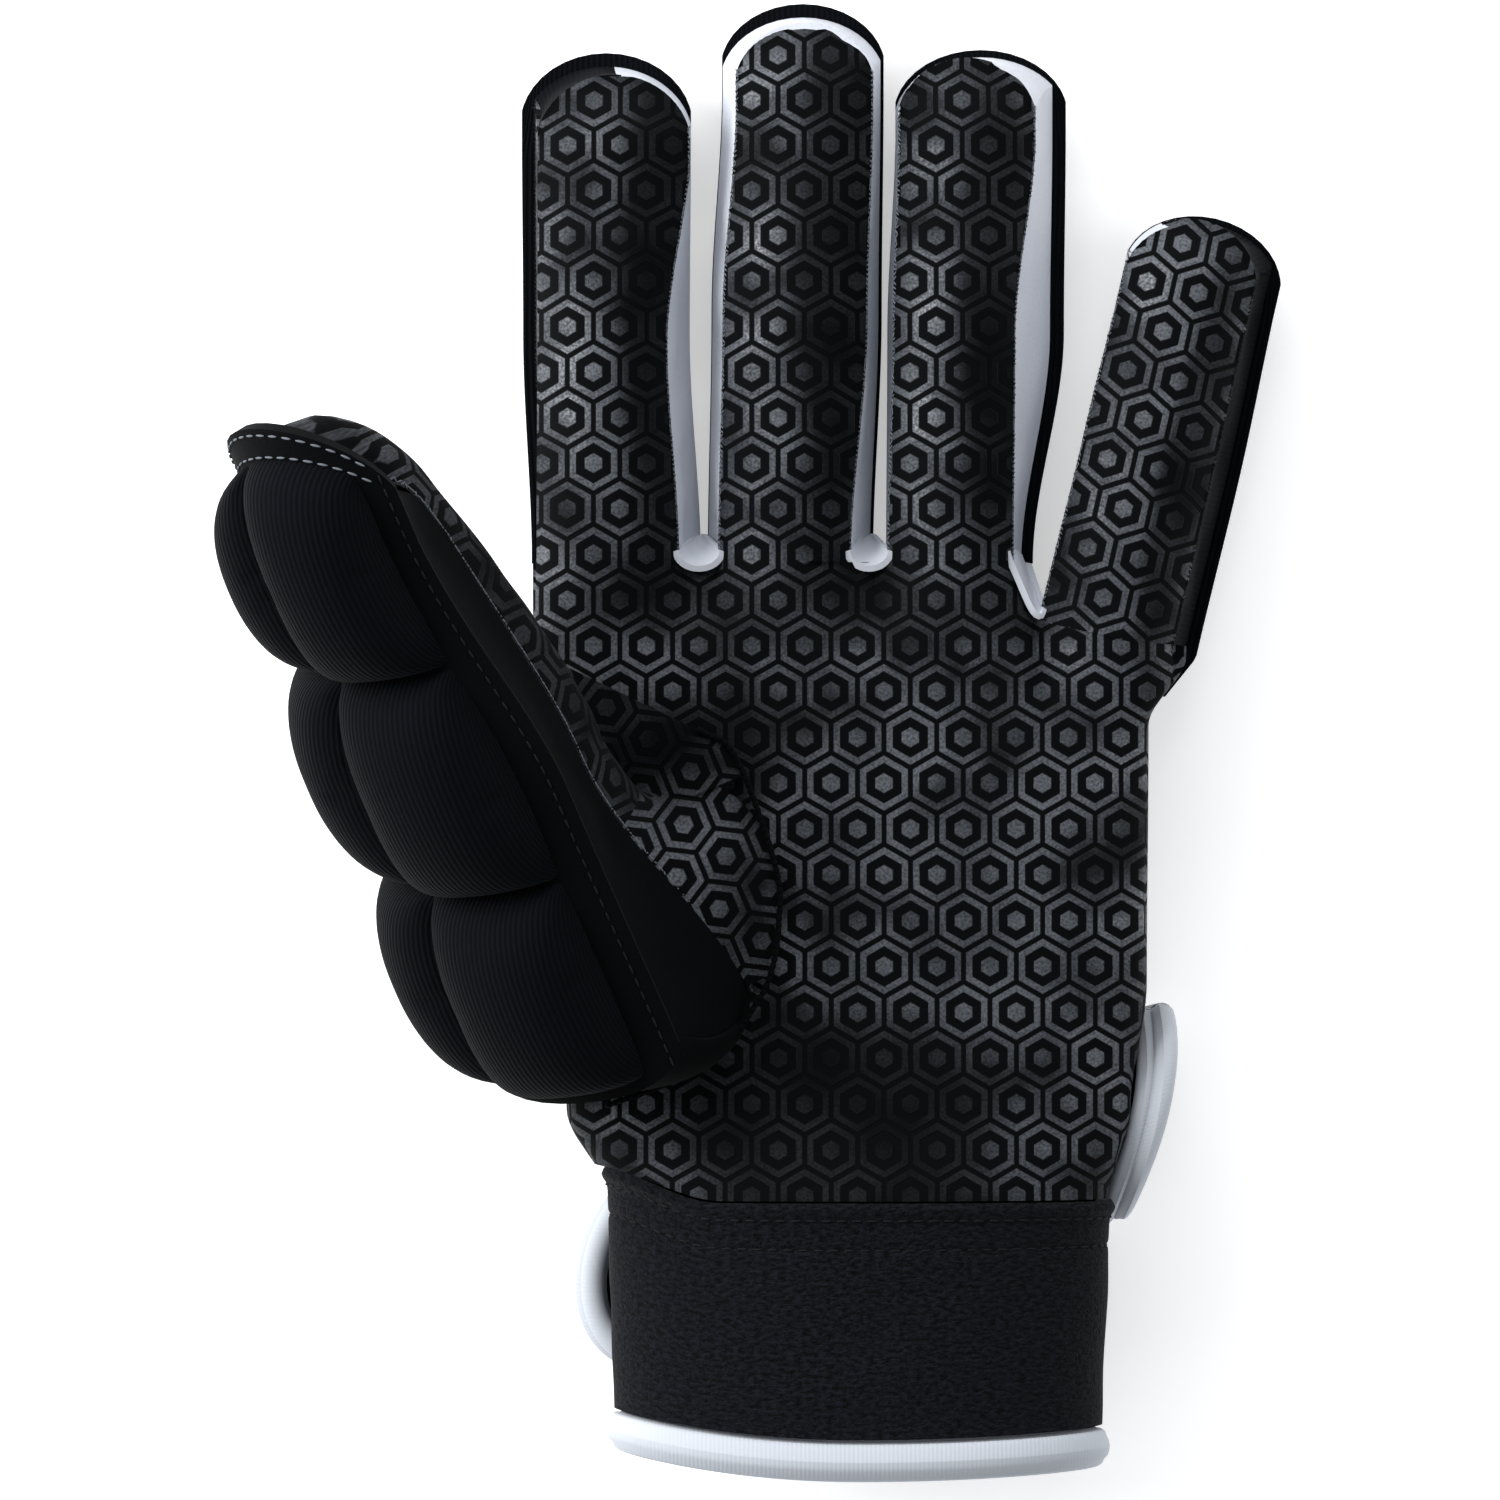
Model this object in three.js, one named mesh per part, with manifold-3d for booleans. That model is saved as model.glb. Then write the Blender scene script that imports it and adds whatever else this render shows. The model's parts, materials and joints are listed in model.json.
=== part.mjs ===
// A padded indoor hockey glove for the left hand, in millimetres.
// It lies on its foam-padded back: fingers along +Y, thumb on the -X side, palm up (+Z), floor at zero.
import * as THREE from "three";
import Module from "manifold-3d";
import { mergeVertices } from "three/addons/utils/BufferGeometryUtils.js";

const wasm = await Module();
wasm.setup();

// Fabric, foam and the clearance that sewn pieces keep from each other
const seamGap = 0.35;
const skinWall = 1.4;
const gussetWall = 1.2;
const knitWall = 2.2;
const flangeWall = 2;
const pressedFlat = 0.5;
const cutTolerance = 0.02;

// Hand shell: a flattened tube from the wrist seam to the finger webs
const palmLength = 101.5;
const palmWidth = 98.4;
const palmDepth = 27;
const palmCentre = 14.2;
const palmMiddleHeight = 24.5;
const wristSeamY = -73.5;
const webY = wristSeamY + palmLength;

// Wrist band and its rolled binding
const wristWidth = 80;
const wristDepth = 36;
const wristCentre = 17;
const wristMiddleHeight = 24.6;
const bandLength = 37.8;
const bandTaper = 1.2;
const bindingHeight = 6.4;
const bindingThickness = 5;

// Finger height: back plane over the foam, seam of the front panel, crown of the front panel
const fingerBackHeight = 11;
const fingerSeamHeights = [25, 24, 21];
const fingerCrowns = [7.2, 7, 5.5];
const tipDepthShare = 0.95;
const seamDropShare = 0.8;
const domePower = 2.4;
const foamPower = 4;
const tipFallPower = 3;

// Each list holds the value at the base, the waist and the tip of the digit.
// Shifts are the sideways places of the panel's centre line.
const indexFinger = {
  name: "index", baseX: -22.4, baseY: webY, lean: 0, length: 78.1, backReach: 4,
  frontHalves: [11.4, 10.4, 12.2], frontShifts: [-0.6, -1.5, 0.3],
  backHalves: [13.6, 13.4, 13.6], backShifts: [0.6, -1, -1], wrap: -1,
};
const middleFinger = {
  name: "middle", baseX: 6.2, baseY: webY, lean: 0, length: 86.4, backReach: 3.6,
  frontHalves: [10.6, 11.6, 11], frontShifts: [-1, 0.7, 2.2],
  backHalves: [13.3, 13.7, 13], backShifts: [0, 1, 2], wrap: 0,
};
const ringFinger = {
  name: "ring", baseX: 33.4, baseY: webY, lean: 0, length: 80.8, backReach: 1.8,
  frontHalves: [10.1, 9.8, 11], frontShifts: [-1.7, -1.1, 1],
  backHalves: [11.8, 13.2, 13.7], backShifts: [0, 1.8, 3.4], wrap: 0,
};
const littleFinger = {
  name: "little", baseX: 57, baseY: 16, lean: -12.8, length: 68.5, backReach: 1.2,
  frontHalves: [11, 10.8, 10.6], frontShifts: [-0.6, -0.3, 0],
  backHalves: [12.6, 12.8, 12.6], backShifts: [2.2, 2.4, 2.2], wrap: 1,
};
const digits = [indexFinger, middleFinger, ringFinger, littleFinger];
const fingerJointShares = [0, 0.36, 0.67, 1];

// Thumb: the same build on a frame that leans out, rises from the palm and rolls its pads to the side
const thumb = {
  name: "thumb", length: 115, backReach: 2,
  frontHalves: [17, 13, 11], frontShifts: [-1, -3, -1],
  backHalves: [25.5, 25, 21], backShifts: [0, 0, 0], wrap: 1,
};
const thumbInset = 6;
const thumbDrop = 81;
const thumbBaseHeight = 34;
const thumbBase = [palmCentre - palmWidth / 2 + thumbInset, webY - thumbDrop, thumbBaseHeight];
const thumbLean = 22.8;
const thumbTilt = 22;
const thumbRoll = 118;
const thumbBackHeight = -7;
const thumbBackCurl = 58;
const thumbSeamHeights = [26, 15.5, 15];
const thumbCrowns = [13, 10, 10];
const thumbFoam = 8.5;
const thumbPadShares = [-0.8, 0.9];
const thumbTipPadShare = 0.6;
const thumbJointShares = [0, 1 / 3, 2 / 3, 1];
const thumbBaseBulge = 6;

// Curved palm seam of the thumb's front panel, from the heel of the hand up, measured from the thumb's base
const palmSeam = [[32, 15.5], [33.2, 23], [32.8, 32.3], [26.4, 49.9], [20.8, 54]];
const thumbRiseShare = 0.55;
const rampStart = 3;
const rampEdgeShare = 0.2;
const webEdgeShare = 0.3;

// Closing strap across the back of the wrist, with a tab that folds up the little-finger side
const strapLean = 17.7;
const strapWidth = 22;
const strapWall = 2.4;
const strapHeight = 2.5;
const strapCentre = [14, -75.5];
const strapLeftInset = 9.2;
const strapRightInset = 2.7;
const strapLeft = palmWidth / 2 - strapLeftInset;
const strapRight = palmWidth / 2 - strapRightInset;
const leftSkew = 0.32;
const rightSkew = 0.587;
const strapBend = 7;
const tabLength = 15;
const tabBindingRadius = 2.1;
const patchWall = 0.9;
const patchInset = 5;

// Colours
const black = { color: 0x14161a, roughness: 0.9, metalness: 0 };
const print = { color: 0x34383c, roughness: 0.7, metalness: 0 };
const white = { color: 0xe6e9f0, roughness: 0.8, metalness: 0 };
const neoprene = { color: 0x0f1013, roughness: 0.8, metalness: 0 };

const clamp = THREE.MathUtils.clamp;
const lerp = THREE.MathUtils.lerp;
const radians = THREE.MathUtils.degToRad;

// Closed solids from point grids

function grid(columns, rows, place) {
  const points = [];
  for (let j = 0; j <= rows; j++) {
    const row = [];
    for (let i = 0; i <= columns; i++) row.push(place(i / columns, j / rows));
    points.push(row);
  }
  return points;
}

function inset(points, wall, closed = false, level = false) {
  const last = points[0].length - 1;
  return points.map((row, j) => row.map((point, i) => {
    const before = closed && i === 0 ? row[last - 1] : row[Math.max(i - 1, 0)];
    const after = closed && i === last ? row[1] : row[Math.min(i + 1, last)];
    const below = points[Math.max(j - 1, 0)][i];
    const above = points[Math.min(j + 1, points.length - 1)][i];
    const across = after.clone().sub(before);
    const along = above.clone().sub(below);
    const normal = across.cross(along);
    if (level) normal.z = 0;
    return point.clone().addScaledVector(normal.normalize(), -wall);
  }));
}

function geometryFrom(vertices, faces) {
  let volume = 0;
  for (const [a, b, c] of faces) volume += vertices[a].dot(vertices[b].clone().cross(vertices[c]));
  const outward = volume < 0 ? faces.map(([a, b, c]) => [a, c, b]) : faces;
  const geometry = new THREE.BufferGeometry().setFromPoints(vertices);
  geometry.setIndex(outward.flat());
  geometry.computeVertexNormals();
  return geometry;
}

// The solid between two grids of the same size, closed round their rim
function between(outer, inner, closed = false) {
  const rows = outer.length - 1;
  const columns = outer[0].length - 1;
  const width = closed ? columns : columns + 1;
  const vertices = [outer, inner].flatMap((points) => points.flatMap((row) => row.slice(0, width)));
  const count = width * (rows + 1);
  const at = (layer, i, j) => layer * count + j * width + (i % width);
  const faces = [];
  const quad = (a, b, c, d) => faces.push([a, b, c], [a, c, d]);
  for (let j = 0; j < rows; j++) {
    for (let i = 0; i < columns; i++) {
      quad(at(0, i, j), at(0, i + 1, j), at(0, i + 1, j + 1), at(0, i, j + 1));
      quad(at(1, i, j), at(1, i, j + 1), at(1, i + 1, j + 1), at(1, i + 1, j));
    }
  }
  for (let i = 0; i < columns; i++) {
    quad(at(0, i + 1, 0), at(0, i, 0), at(1, i, 0), at(1, i + 1, 0));
    quad(at(0, i, rows), at(0, i + 1, rows), at(1, i + 1, rows), at(1, i, rows));
  }
  if (!closed) {
    for (let j = 0; j < rows; j++) {
      quad(at(0, 0, j), at(0, 0, j + 1), at(1, 0, j + 1), at(1, 0, j));
      quad(at(0, columns, j + 1), at(0, columns, j), at(1, columns, j), at(1, columns, j + 1));
    }
  }
  return geometryFrom(vertices, faces);
}

const sheet = (points, wall, closed = false) => between(points, inset(points, wall, closed), closed);
const uprightSheet = (points, wall) => between(points, inset(points, wall, false, true));

// A closed body through rings of points, with both ends capped or the last ring joined to the first
function loft(rings, endless = false) {
  const sides = rings[0].length;
  const vertices = rings.flat();
  const faces = [];
  const spans = endless ? rings.length : rings.length - 1;
  for (let j = 0; j < spans; j++) {
    const next = (j + 1) % rings.length;
    for (let i = 0; i < sides; i++) {
      const turn = (i + 1) % sides;
      faces.push([j * sides + i, j * sides + turn, next * sides + turn]);
      faces.push([j * sides + i, next * sides + turn, next * sides + i]);
    }
  }
  if (!endless) {
    for (const [start, flip] of [[0, true], [(rings.length - 1) * sides, false]]) {
      const middle = vertices.length;
      const centre = new THREE.Vector3();
      for (let i = 0; i < sides; i++) centre.addScaledVector(vertices[start + i], 1 / sides);
      vertices.push(centre);
      for (let i = 0; i < sides; i++) {
        const ends = [start + i, start + ((i + 1) % sides)];
        if (flip) ends.reverse();
        faces.push([...ends, middle]);
      }
    }
  }
  return geometryFrom(vertices, faces);
}

// Cutting one solid with others, keeping its largest body

function toManifold(geometry) {
  const bare = geometry.clone();
  bare.deleteAttribute("normal");
  bare.deleteAttribute("uv");
  const merged = mergeVertices(bare);
  return new wasm.Manifold(new wasm.Mesh({
    numProp: 3,
    vertProperties: new Float32Array(merged.attributes.position.array),
    triVerts: new Uint32Array(merged.index.array),
  }));
}

function cut(geometry, ...cutters) {
  let solid = toManifold(geometry);
  for (const cutter of cutters) solid = solid.subtract(toManifold(cutter));
  const bodies = solid.decompose().sort((a, b) => b.volume() - a.volume());
  const mesh = bodies[0].simplify(cutTolerance).getMesh();
  const result = new THREE.BufferGeometry();
  result.setAttribute("position", new THREE.BufferAttribute(new Float32Array(mesh.vertProperties), 3));
  result.setIndex(new THREE.BufferAttribute(new Uint32Array(mesh.triVerts), 1));
  result.computeVertexNormals();
  return result;
}

// Digit outlines

const waistShare = 0.45;
const tipShare = 0.85;

function along(values, share) {
  if (share < waistShare) {
    return lerp(values[0], values[1], THREE.MathUtils.smoothstep(share, 0, waistShare));
  }
  return lerp(values[1], values[2], THREE.MathUtils.smoothstep(share, waistShare, tipShare));
}

const cornerShare = 0.98;
const rounding = (u) => 1 - Math.sqrt(1 - (cornerShare * u) ** 2);

// Where a point of the digit lies along it: straight rows, and rows that follow the round tip
function rowY(digit, reach, from, to, u, r) {
  if (to < digit.length) return lerp(from, to, r);
  const depth = along(digit.frontHalves, 1) * tipDepthShare;
  return lerp(from, reach - depth * rounding(u), r);
}

function frontPoint(digit, u, y, fall) {
  const share = clamp(y / digit.length, 0, 1);
  const dome = along(digit.crowns, share) * (1 - Math.abs(u) ** domePower) * fall;
  const x = along(digit.frontShifts, share) + u * along(digit.frontHalves, share);
  return new THREE.Vector3(x, y, along(digit.seamHeights, share) + dome);
}

// A flat back, or one that curls round the digit, sunk outward by the given drop
function backPoint(digit, u, y, drop) {
  const share = clamp(y / digit.length, 0, 1);
  const half = along(digit.backHalves, share);
  const middle = along(digit.backShifts, share);
  if (digit.backCurl === 0) return new THREE.Vector3(middle + u * half, y, digit.backHeight - drop);
  const curl = radians(digit.backCurl);
  const radius = half / Math.sin(curl);
  const x = middle + (radius + drop) * Math.sin(u * curl);
  return new THREE.Vector3(x, y, digit.backHeight + radius - (radius + drop) * Math.cos(u * curl));
}

const arcShare = (t) => Math.sin((t - 0.5) * Math.PI);
const frontFall = (last, r) => (last ? 1 - r ** tipFallPower : 1);

// The side wall between the edges of the front and back panels, at height share w from the front
function sidePoint(digit, u, from, to, r, w) {
  const front = frontPoint(digit, u, rowY(digit, digit.length, from, to, u, r), 0);
  const back = backPoint(digit, u, rowY(digit, digit.length + digit.backReach, from, to, u, r), 0);
  front.z = along(digit.seamHeights, clamp(front.y / digit.length, 0, 1)) - skinWall * seamDropShare - seamGap;
  back.z += seamGap;
  return front.lerp(back, w);
}

// The front panel, which on the outer digits also wraps down one side to the back panel
const wrapReachShare = 0.93;

function frontPanel(digit, from, to) {
  const last = to >= digit.length;
  const wrapColumns = digit.wrap === 0 ? 0 : 3;
  const domeColumns = 10;
  const columns = domeColumns + wrapColumns;
  const wall = digit.wrap > 0 ? -skinWall : skinWall;
  const points = grid(columns, last ? 5 : 3, (s, r) => {
    const step = Math.round(s * columns);
    const side = digit.wrap > 0 ? 1 : -1;
    if (step < wrapColumns) {
      const edge = frontPoint(digit, side, rowY(digit, digit.length, from, to, 1, r), 0);
      return edge.lerp(sidePoint(digit, side, from, to, r, wrapReachShare), 1 - step / wrapColumns);
    }
    const u = -side * arcShare((step - wrapColumns) / domeColumns);
    return frontPoint(digit, u, rowY(digit, digit.length, from, to, u, r), frontFall(last, r));
  });
  return sheet(points, wall);
}

// A straight side wall, on side -1 or 1
function sideGusset(digit, side, from, to) {
  const points = grid(3, 2, (s, w) => sidePoint(digit, side, from, to, s, w));
  return uprightSheet(points, -side * gussetWall);
}

// The side wall of the last joint: from one side round the tip and, unless the front wraps there, back
const straightShares = [0, 0.4, 0.8];

function tipGusset(digit, from, to) {
  const stations = [];
  const arcSteps = 10;
  if (digit.wrap !== -1) for (const r of straightShares) stations.push([-1, r]);
  for (let i = digit.wrap === -1 ? 1 : 0; i <= arcSteps - (digit.wrap === 1 ? 1 : 0); i++) {
    stations.push([arcShare(i / arcSteps), 1]);
  }
  if (digit.wrap !== 1) for (const r of [...straightShares].reverse()) stations.push([1, r]);
  const columns = stations.length - 1;
  const points = grid(columns, 2, (s, w) => {
    const [u, r] = stations[Math.round(s * columns)];
    return sidePoint(digit, u, from, to, r, w);
  });
  return uprightSheet(points, gussetWall);
}

// The quilted back: a knit cover over crowned foam blocks, sewn down to a flange all round
const bumpEdge = (t, edge) => (Math.abs(t) >= edge ? 0 : Math.sqrt(1 - (Math.abs(t) / edge) ** foamPower));
const blockShares = [-1, -0.9, -0.72, -0.3, 0.3, 0.72, 0.9, 1];
const plainBlockShares = [-1, -0.9, -0.6, 0.6, 0.9, 1];
const blockEdgeShare = 0.9;

function blockStations(blocks, shares = blockShares) {
  const stations = [];
  for (let k = 0; k < blocks; k++) {
    for (const t of shares) {
      const place = (2 * k + 1 + t) / blocks - 1;
      if (!stations.some(([known]) => Math.abs(known - place) < 1e-6)) {
        stations.push([place, bumpEdge(t, blockEdgeShare)]);
      }
    }
  }
  return stations;
}

// Stations moved between two limits, with a flat flange outside them
function bordered(stations, [low, high]) {
  const moved = stations.map(([place, height]) => [lerp(low, high, (place + 1) / 2), height]);
  if (low > -1) moved.unshift([-1, 0]);
  if (high < 1) moved.push([1, 0]);
  return moved;
}

function quiltedBack(digit, from, to, blocks) {
  const across = bordered(blockStations(blocks), digit.padShares);
  const lengthwise = bordered(blockStations(1), [-1, to < digit.length ? 1 : digit.tipPadShare]);
  const columns = across.length - 1;
  const rows = lengthwise.length - 1;
  const reach = digit.length + digit.backReach;
  const place = (s, t, cover) => {
    const [u, bumpAcross] = across[Math.round(s * columns)];
    const [v, bumpAlong] = lengthwise[Math.round(t * rows)];
    const y = rowY(digit, reach, from, to, u, (v + 1) / 2);
    const drop = cover * (flangeWall + digit.foam * bumpAcross * bumpAlong);
    const point = backPoint(digit, u, y, drop);
    if (digit.onFloor) point.z = Math.max(point.z, 0);
    return point;
  };
  return between(grid(columns, rows, (s, t) => place(s, t, 1)), grid(columns, rows, (s, t) => place(s, t, 0)));
}

// Hand shell sections, as superellipses

const handShares = [
  { along: 0, width: 0, round: 2.3 },
  { along: 0.14, width: 0.55, round: 2.5 },
  { along: 0.34, width: 0.95, round: 2.9 },
  { along: 0.72, width: 1, round: 3 },
  { along: 1, width: 1, round: 3 },
];
const webDepthShare = 0.84;
const webSinkShare = 0.1;

function handSection(y) {
  const share = clamp((y - wristSeamY) / palmLength, 0, 1);
  let k = 0;
  while (share > handShares[k + 1].along) k++;
  const [low, high] = [handShares[k], handShares[k + 1]];
  const t = THREE.MathUtils.smoothstep(share, low.along, high.along);
  const toPalm = lerp(low.width, high.width, t);
  const toWeb = THREE.MathUtils.smoothstep(share, handShares[2].along, 1);
  const depth = lerp(wristDepth, palmDepth, toPalm) * lerp(1, webDepthShare, toWeb);
  return {
    y,
    centre: lerp(wristCentre, palmCentre, toPalm),
    half: lerp(wristWidth, palmWidth, toPalm) / 2,
    middle: lerp(wristMiddleHeight, palmMiddleHeight, toPalm) - toWeb * palmDepth * webSinkShare,
    rise: depth / 2,
    round: lerp(low.round, high.round, t),
  };
}

function onSection(section, angle, out = 0) {
  const power = 2 / section.round;
  const x = Math.sign(Math.cos(angle)) * Math.abs(Math.cos(angle)) ** power;
  const z = Math.sign(Math.sin(angle)) * Math.abs(Math.sin(angle)) ** power;
  const halfOut = section.half + out;
  const riseOut = section.rise + out;
  return new THREE.Vector3(section.centre + halfOut * x, section.y, section.middle + riseOut * z);
}

// The back panel ends at this share of the half width; the front panel wraps round the sides to it
const backEdgeShare = 0.925;
const wrapAngle = (section) => Math.acos((backEdgeShare + seamGap / section.half) ** (section.round / 2));

function handFront() {
  return sheet(grid(24, 12, (s, t) => {
    const section = handSection(lerp(wristSeamY, webY, t));
    const hook = wrapAngle(section);
    return onSection(section, lerp(-hook, Math.PI + hook, s));
  }), -skinWall);
}

// Foam blocks of the hand's back end along the strap, short of it by the strap's own clearance
const padColumns = 4;
const padRows = 3;
const plateauShare = 0.8;
const strapSlope = Math.tan(radians(strapLean));
const padFootClearance = 3.5;
const padFootY = (x) => strapCentre[1] + (x - strapCentre[0]) * strapSlope
  + strapWidth / 2 / Math.cos(radians(strapLean)) + tabBindingRadius * 2 + padFootClearance;

function handBack() {
  const across = blockStations(padColumns, plainBlockShares);
  const lengthwise = [[-1, 0], ...blockStations(padRows, plainBlockShares)];
  const columns = across.length - 1;
  const rows = lengthwise.length - 1;
  const place = (s, t, cover) => {
    const [u, bumpAcross] = across[Math.round(s * columns)];
    const row = Math.round(t * rows);
    const [v, bumpAlong] = lengthwise[row];
    const roughX = palmCentre + u * backEdgeShare * palmWidth / 2;
    const foot = padFootY(roughX);
    const y = row === 0 ? wristSeamY : lerp(foot, webY, (v + 1) / 2);
    const section = handSection(y);
    const share = u * backEdgeShare;
    const x = section.centre + share * section.half;
    const base = section.middle - section.rise * (1 - Math.abs(share) ** section.round) ** (1 / section.round);
    const foam = (base - flangeWall + pressedFlat) / plateauShare;
    const z = base - cover * (flangeWall + foam * bumpAcross * bumpAlong);
    return new THREE.Vector3(x, y, Math.max(z, 0));
  };
  return between(grid(columns, rows, (s, t) => place(s, t, 1)), grid(columns, rows, (s, t) => place(s, t, 0)));
}

function handBody(out, from, to, sink = 0) {
  const sides = 36;
  const stations = 12;
  const rings = [];
  for (let j = 0; j <= stations; j++) {
    const section = handSection(lerp(from, to, j / stations));
    section.y = lerp(from, to, j / stations);
    section.middle -= sink;
    rings.push(Array.from({ length: sides }, (_, i) => onSection(section, (2 * Math.PI * i) / sides, out)));
  }
  return loft(rings);
}

// Wrist band and binding

const bandSection = (y) => {
  const section = handSection(wristSeamY);
  const share = (wristSeamY - y) / bandLength;
  return { ...section, y, half: section.half - bandTaper * share };
};

function wristBand() {
  return sheet(grid(32, 3, (s, t) => {
    const y = lerp(wristSeamY - seamGap, wristSeamY - bandLength, t);
    return onSection(bandSection(y), -s * 2 * Math.PI);
  }), -knitWall, true);
}

function wristBinding() {
  const middleY = wristSeamY - bandLength - seamGap - bindingHeight / 2;
  const section = bandSection(wristSeamY - bandLength);
  const turns = 32;
  const sides = 8;
  const rings = [];
  for (let j = 0; j < turns; j++) {
    const ring = [];
    for (let i = 0; i < sides; i++) {
      const turn = (2 * Math.PI * (i + 0.5)) / sides;
      const out = (Math.cos(turn) * bindingThickness) / 2 - knitWall / 2;
      const point = onSection(section, (2 * Math.PI * j) / turns, out);
      point.y = middleY + (Math.sin(turn) * bindingHeight) / 2;
      ring.push(point);
    }
    rings.push(ring);
  }
  return loft(rings, true);
}

// Strap, in its own frame: x along the strap, y across it, z up from the floor

const strapRounding = 0.9;
const strapArc = (strapBend * Math.PI) / 2;

// A point of the strap's middle surface, at distance s from its centre and share w across it.
// Its ends are skewed to lie along the sides of the hand.
function strapPoint(s, w, width, lift = 0) {
  const y = (w * width) / 2;
  const skew = y * lerp(leftSkew, rightSkew, clamp((s + strapLeft) / (strapLeft + strapRight), 0, 1));
  if (s < strapRight) return new THREE.Vector3(s + skew, y, strapHeight + lift);
  const turn = Math.min((s - strapRight) / strapBend, Math.PI / 2);
  const rise = Math.max(s - strapRight - strapArc, 0);
  const radius = strapBend - lift;
  return new THREE.Vector3(
    strapRight + skew + radius * Math.sin(turn),
    y,
    strapHeight + strapBend - radius * Math.cos(turn) + rise,
  );
}

const endInset = (w, width) => (width / 2) * strapRounding * rounding(w);

function plate(from, to, width, lift, wall, columns) {
  const at = (s, w, side) => strapPoint(s, w, width, lift + (side * wall) / 2);
  const points = (side) => grid(columns, 10, (share, t) => {
    const w = arcShare(t);
    const flatEnd = Math.min(to(w), strapRight);
    const flatColumns = from(w) < strapRight ? 4 : 0;
    const step = Math.round(share * columns);
    if (step <= flatColumns) return at(lerp(from(w), flatEnd, step / Math.max(flatColumns, 1)), w, side);
    const start = Math.max(from(w), strapRight);
    return at(lerp(start, to(w), (step - flatColumns) / (columns - flatColumns)), w, side);
  });
  return between(points(1), points(-1));
}

function tube(points, radius, steps) {
  const path = new THREE.CatmullRomCurve3(points);
  const round = new THREE.Shape().absarc(0, 0, radius, 0, 2 * Math.PI);
  const options = { steps, extrudePath: path, curveSegments: 4, bevelEnabled: false };
  return mergeVertices(bareGeometry(new THREE.ExtrudeGeometry(round, options)));
}

function bareGeometry(geometry) {
  geometry.deleteAttribute("normal");
  geometry.deleteAttribute("uv");
  return geometry;
}

const bindingReach = tabBindingRadius + seamGap;

// The path of a binding round a rounded end: down one long edge, round the end and up the other
function bindingPath(rootS, endS, facing, straight) {
  const width = strapWidth + 2 * bindingReach;
  const points = [];
  const end = (w) => endS + facing * (bindingReach - endInset(w, width));
  for (let k = 0; k < straight; k++) points.push([lerp(rootS, end(-1), k / straight), -1]);
  for (let k = 0; k <= 12; k++) points.push([end(arcShare(k / 12)), arcShare(k / 12)]);
  for (let k = straight - 1; k >= 0; k--) points.push([lerp(rootS, end(1), k / straight), 1]);
  return points.map(([s, w]) => strapPoint(s, w, width));
}

// Assembly

const glove = new THREE.Group();

function add(parent, name, geometry, finish) {
  const mesh = new THREE.Mesh(geometry, new THREE.MeshStandardMaterial(finish));
  mesh.name = name;
  parent.add(mesh);
  return mesh;
}

function hingeGroup(parent, name, y, z) {
  const group = new THREE.Group();
  group.name = name;
  group.position.set(0, y, z);
  parent.add(group);
  return group;
}

const crownHeight = (digit, y) => frontPoint(digit, 0, y, 1).z;

function segmentPieces(digit, k, shares) {
  const from = shares[k] * digit.length + seamGap / 2;
  const last = k === shares.length - 2;
  const to = last ? digit.length : shares[k + 1] * digit.length - seamGap / 2;
  const number = k + 1;
  const pieces = [[`${digit.name}_front_${number}`, frontPanel(digit, from, to), print]];
  pieces.push([`${digit.name}_back_${number}`, quiltedBack(digit, from, to, digit.blocks), black]);
  if (last) {
    pieces.push([`${digit.name}_gusset_${number}`, tipGusset(digit, from, to), digit.gussetFinish]);
    return pieces;
  }
  for (const [side, label] of [[-1, "left"], [1, "right"]]) {
    if (digit.wrap === side) continue;
    const name = `${digit.name}_${label}_gusset_${number}`;
    pieces.push([name, sideGusset(digit, side, from, to), digit.gussetFinish]);
  }
  return pieces;
}

const jointNames = ["knuckle", "middle_joint", "tip_joint"];

for (const shape of digits) {
  const digit = {
    ...shape, backHeight: fingerBackHeight, backCurl: 0, seamHeights: fingerSeamHeights, crowns: fingerCrowns,
    foam: fingerBackHeight - flangeWall + pressedFlat, onFloor: true, blocks: 1, gussetFinish: white,
    padShares: [-1, 1], tipPadShare: 1,
  };
  const knuckleHeight = crownHeight(digit, 0);
  const knuckle = hingeGroup(glove, `${digit.name}_knuckle`, digit.baseY, knuckleHeight);
  knuckle.position.x = digit.baseX;
  const leaning = new THREE.Group();
  leaning.rotation.z = radians(digit.lean);
  knuckle.add(leaning);
  let parent = leaning;
  let pivot = new THREE.Vector3(0, 0, knuckleHeight);
  for (let k = 0; k < 3; k++) {
    if (k > 0) {
      const y = fingerJointShares[k] * digit.length;
      const next = new THREE.Vector3(0, y, crownHeight(digit, y));
      parent = hingeGroup(parent, `${digit.name}_${jointNames[k]}`, y - pivot.y, next.z - pivot.z);
      pivot = next;
    }
    for (const [name, geometry, finish] of segmentPieces(digit, k, fingerJointShares)) {
      geometry.translate(-pivot.x, -pivot.y, -pivot.z);
      add(parent, name, geometry, finish);
    }
  }
}

const thumbDigit = {
  ...thumb, backHeight: thumbBackHeight, backCurl: thumbBackCurl, seamHeights: thumbSeamHeights,
  crowns: thumbCrowns, foam: thumbFoam, onFloor: false, blocks: 2, gussetFinish: neoprene,
  padShares: thumbPadShares, tipPadShare: thumbTipPadShare,
};
const thumbFrame = new THREE.Group();
thumbFrame.position.set(...thumbBase);
thumbFrame.rotation.set(radians(thumbTilt), radians(thumbRoll), radians(thumbLean), "ZXY");
thumbFrame.updateMatrix();
glove.add(thumbFrame);

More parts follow.
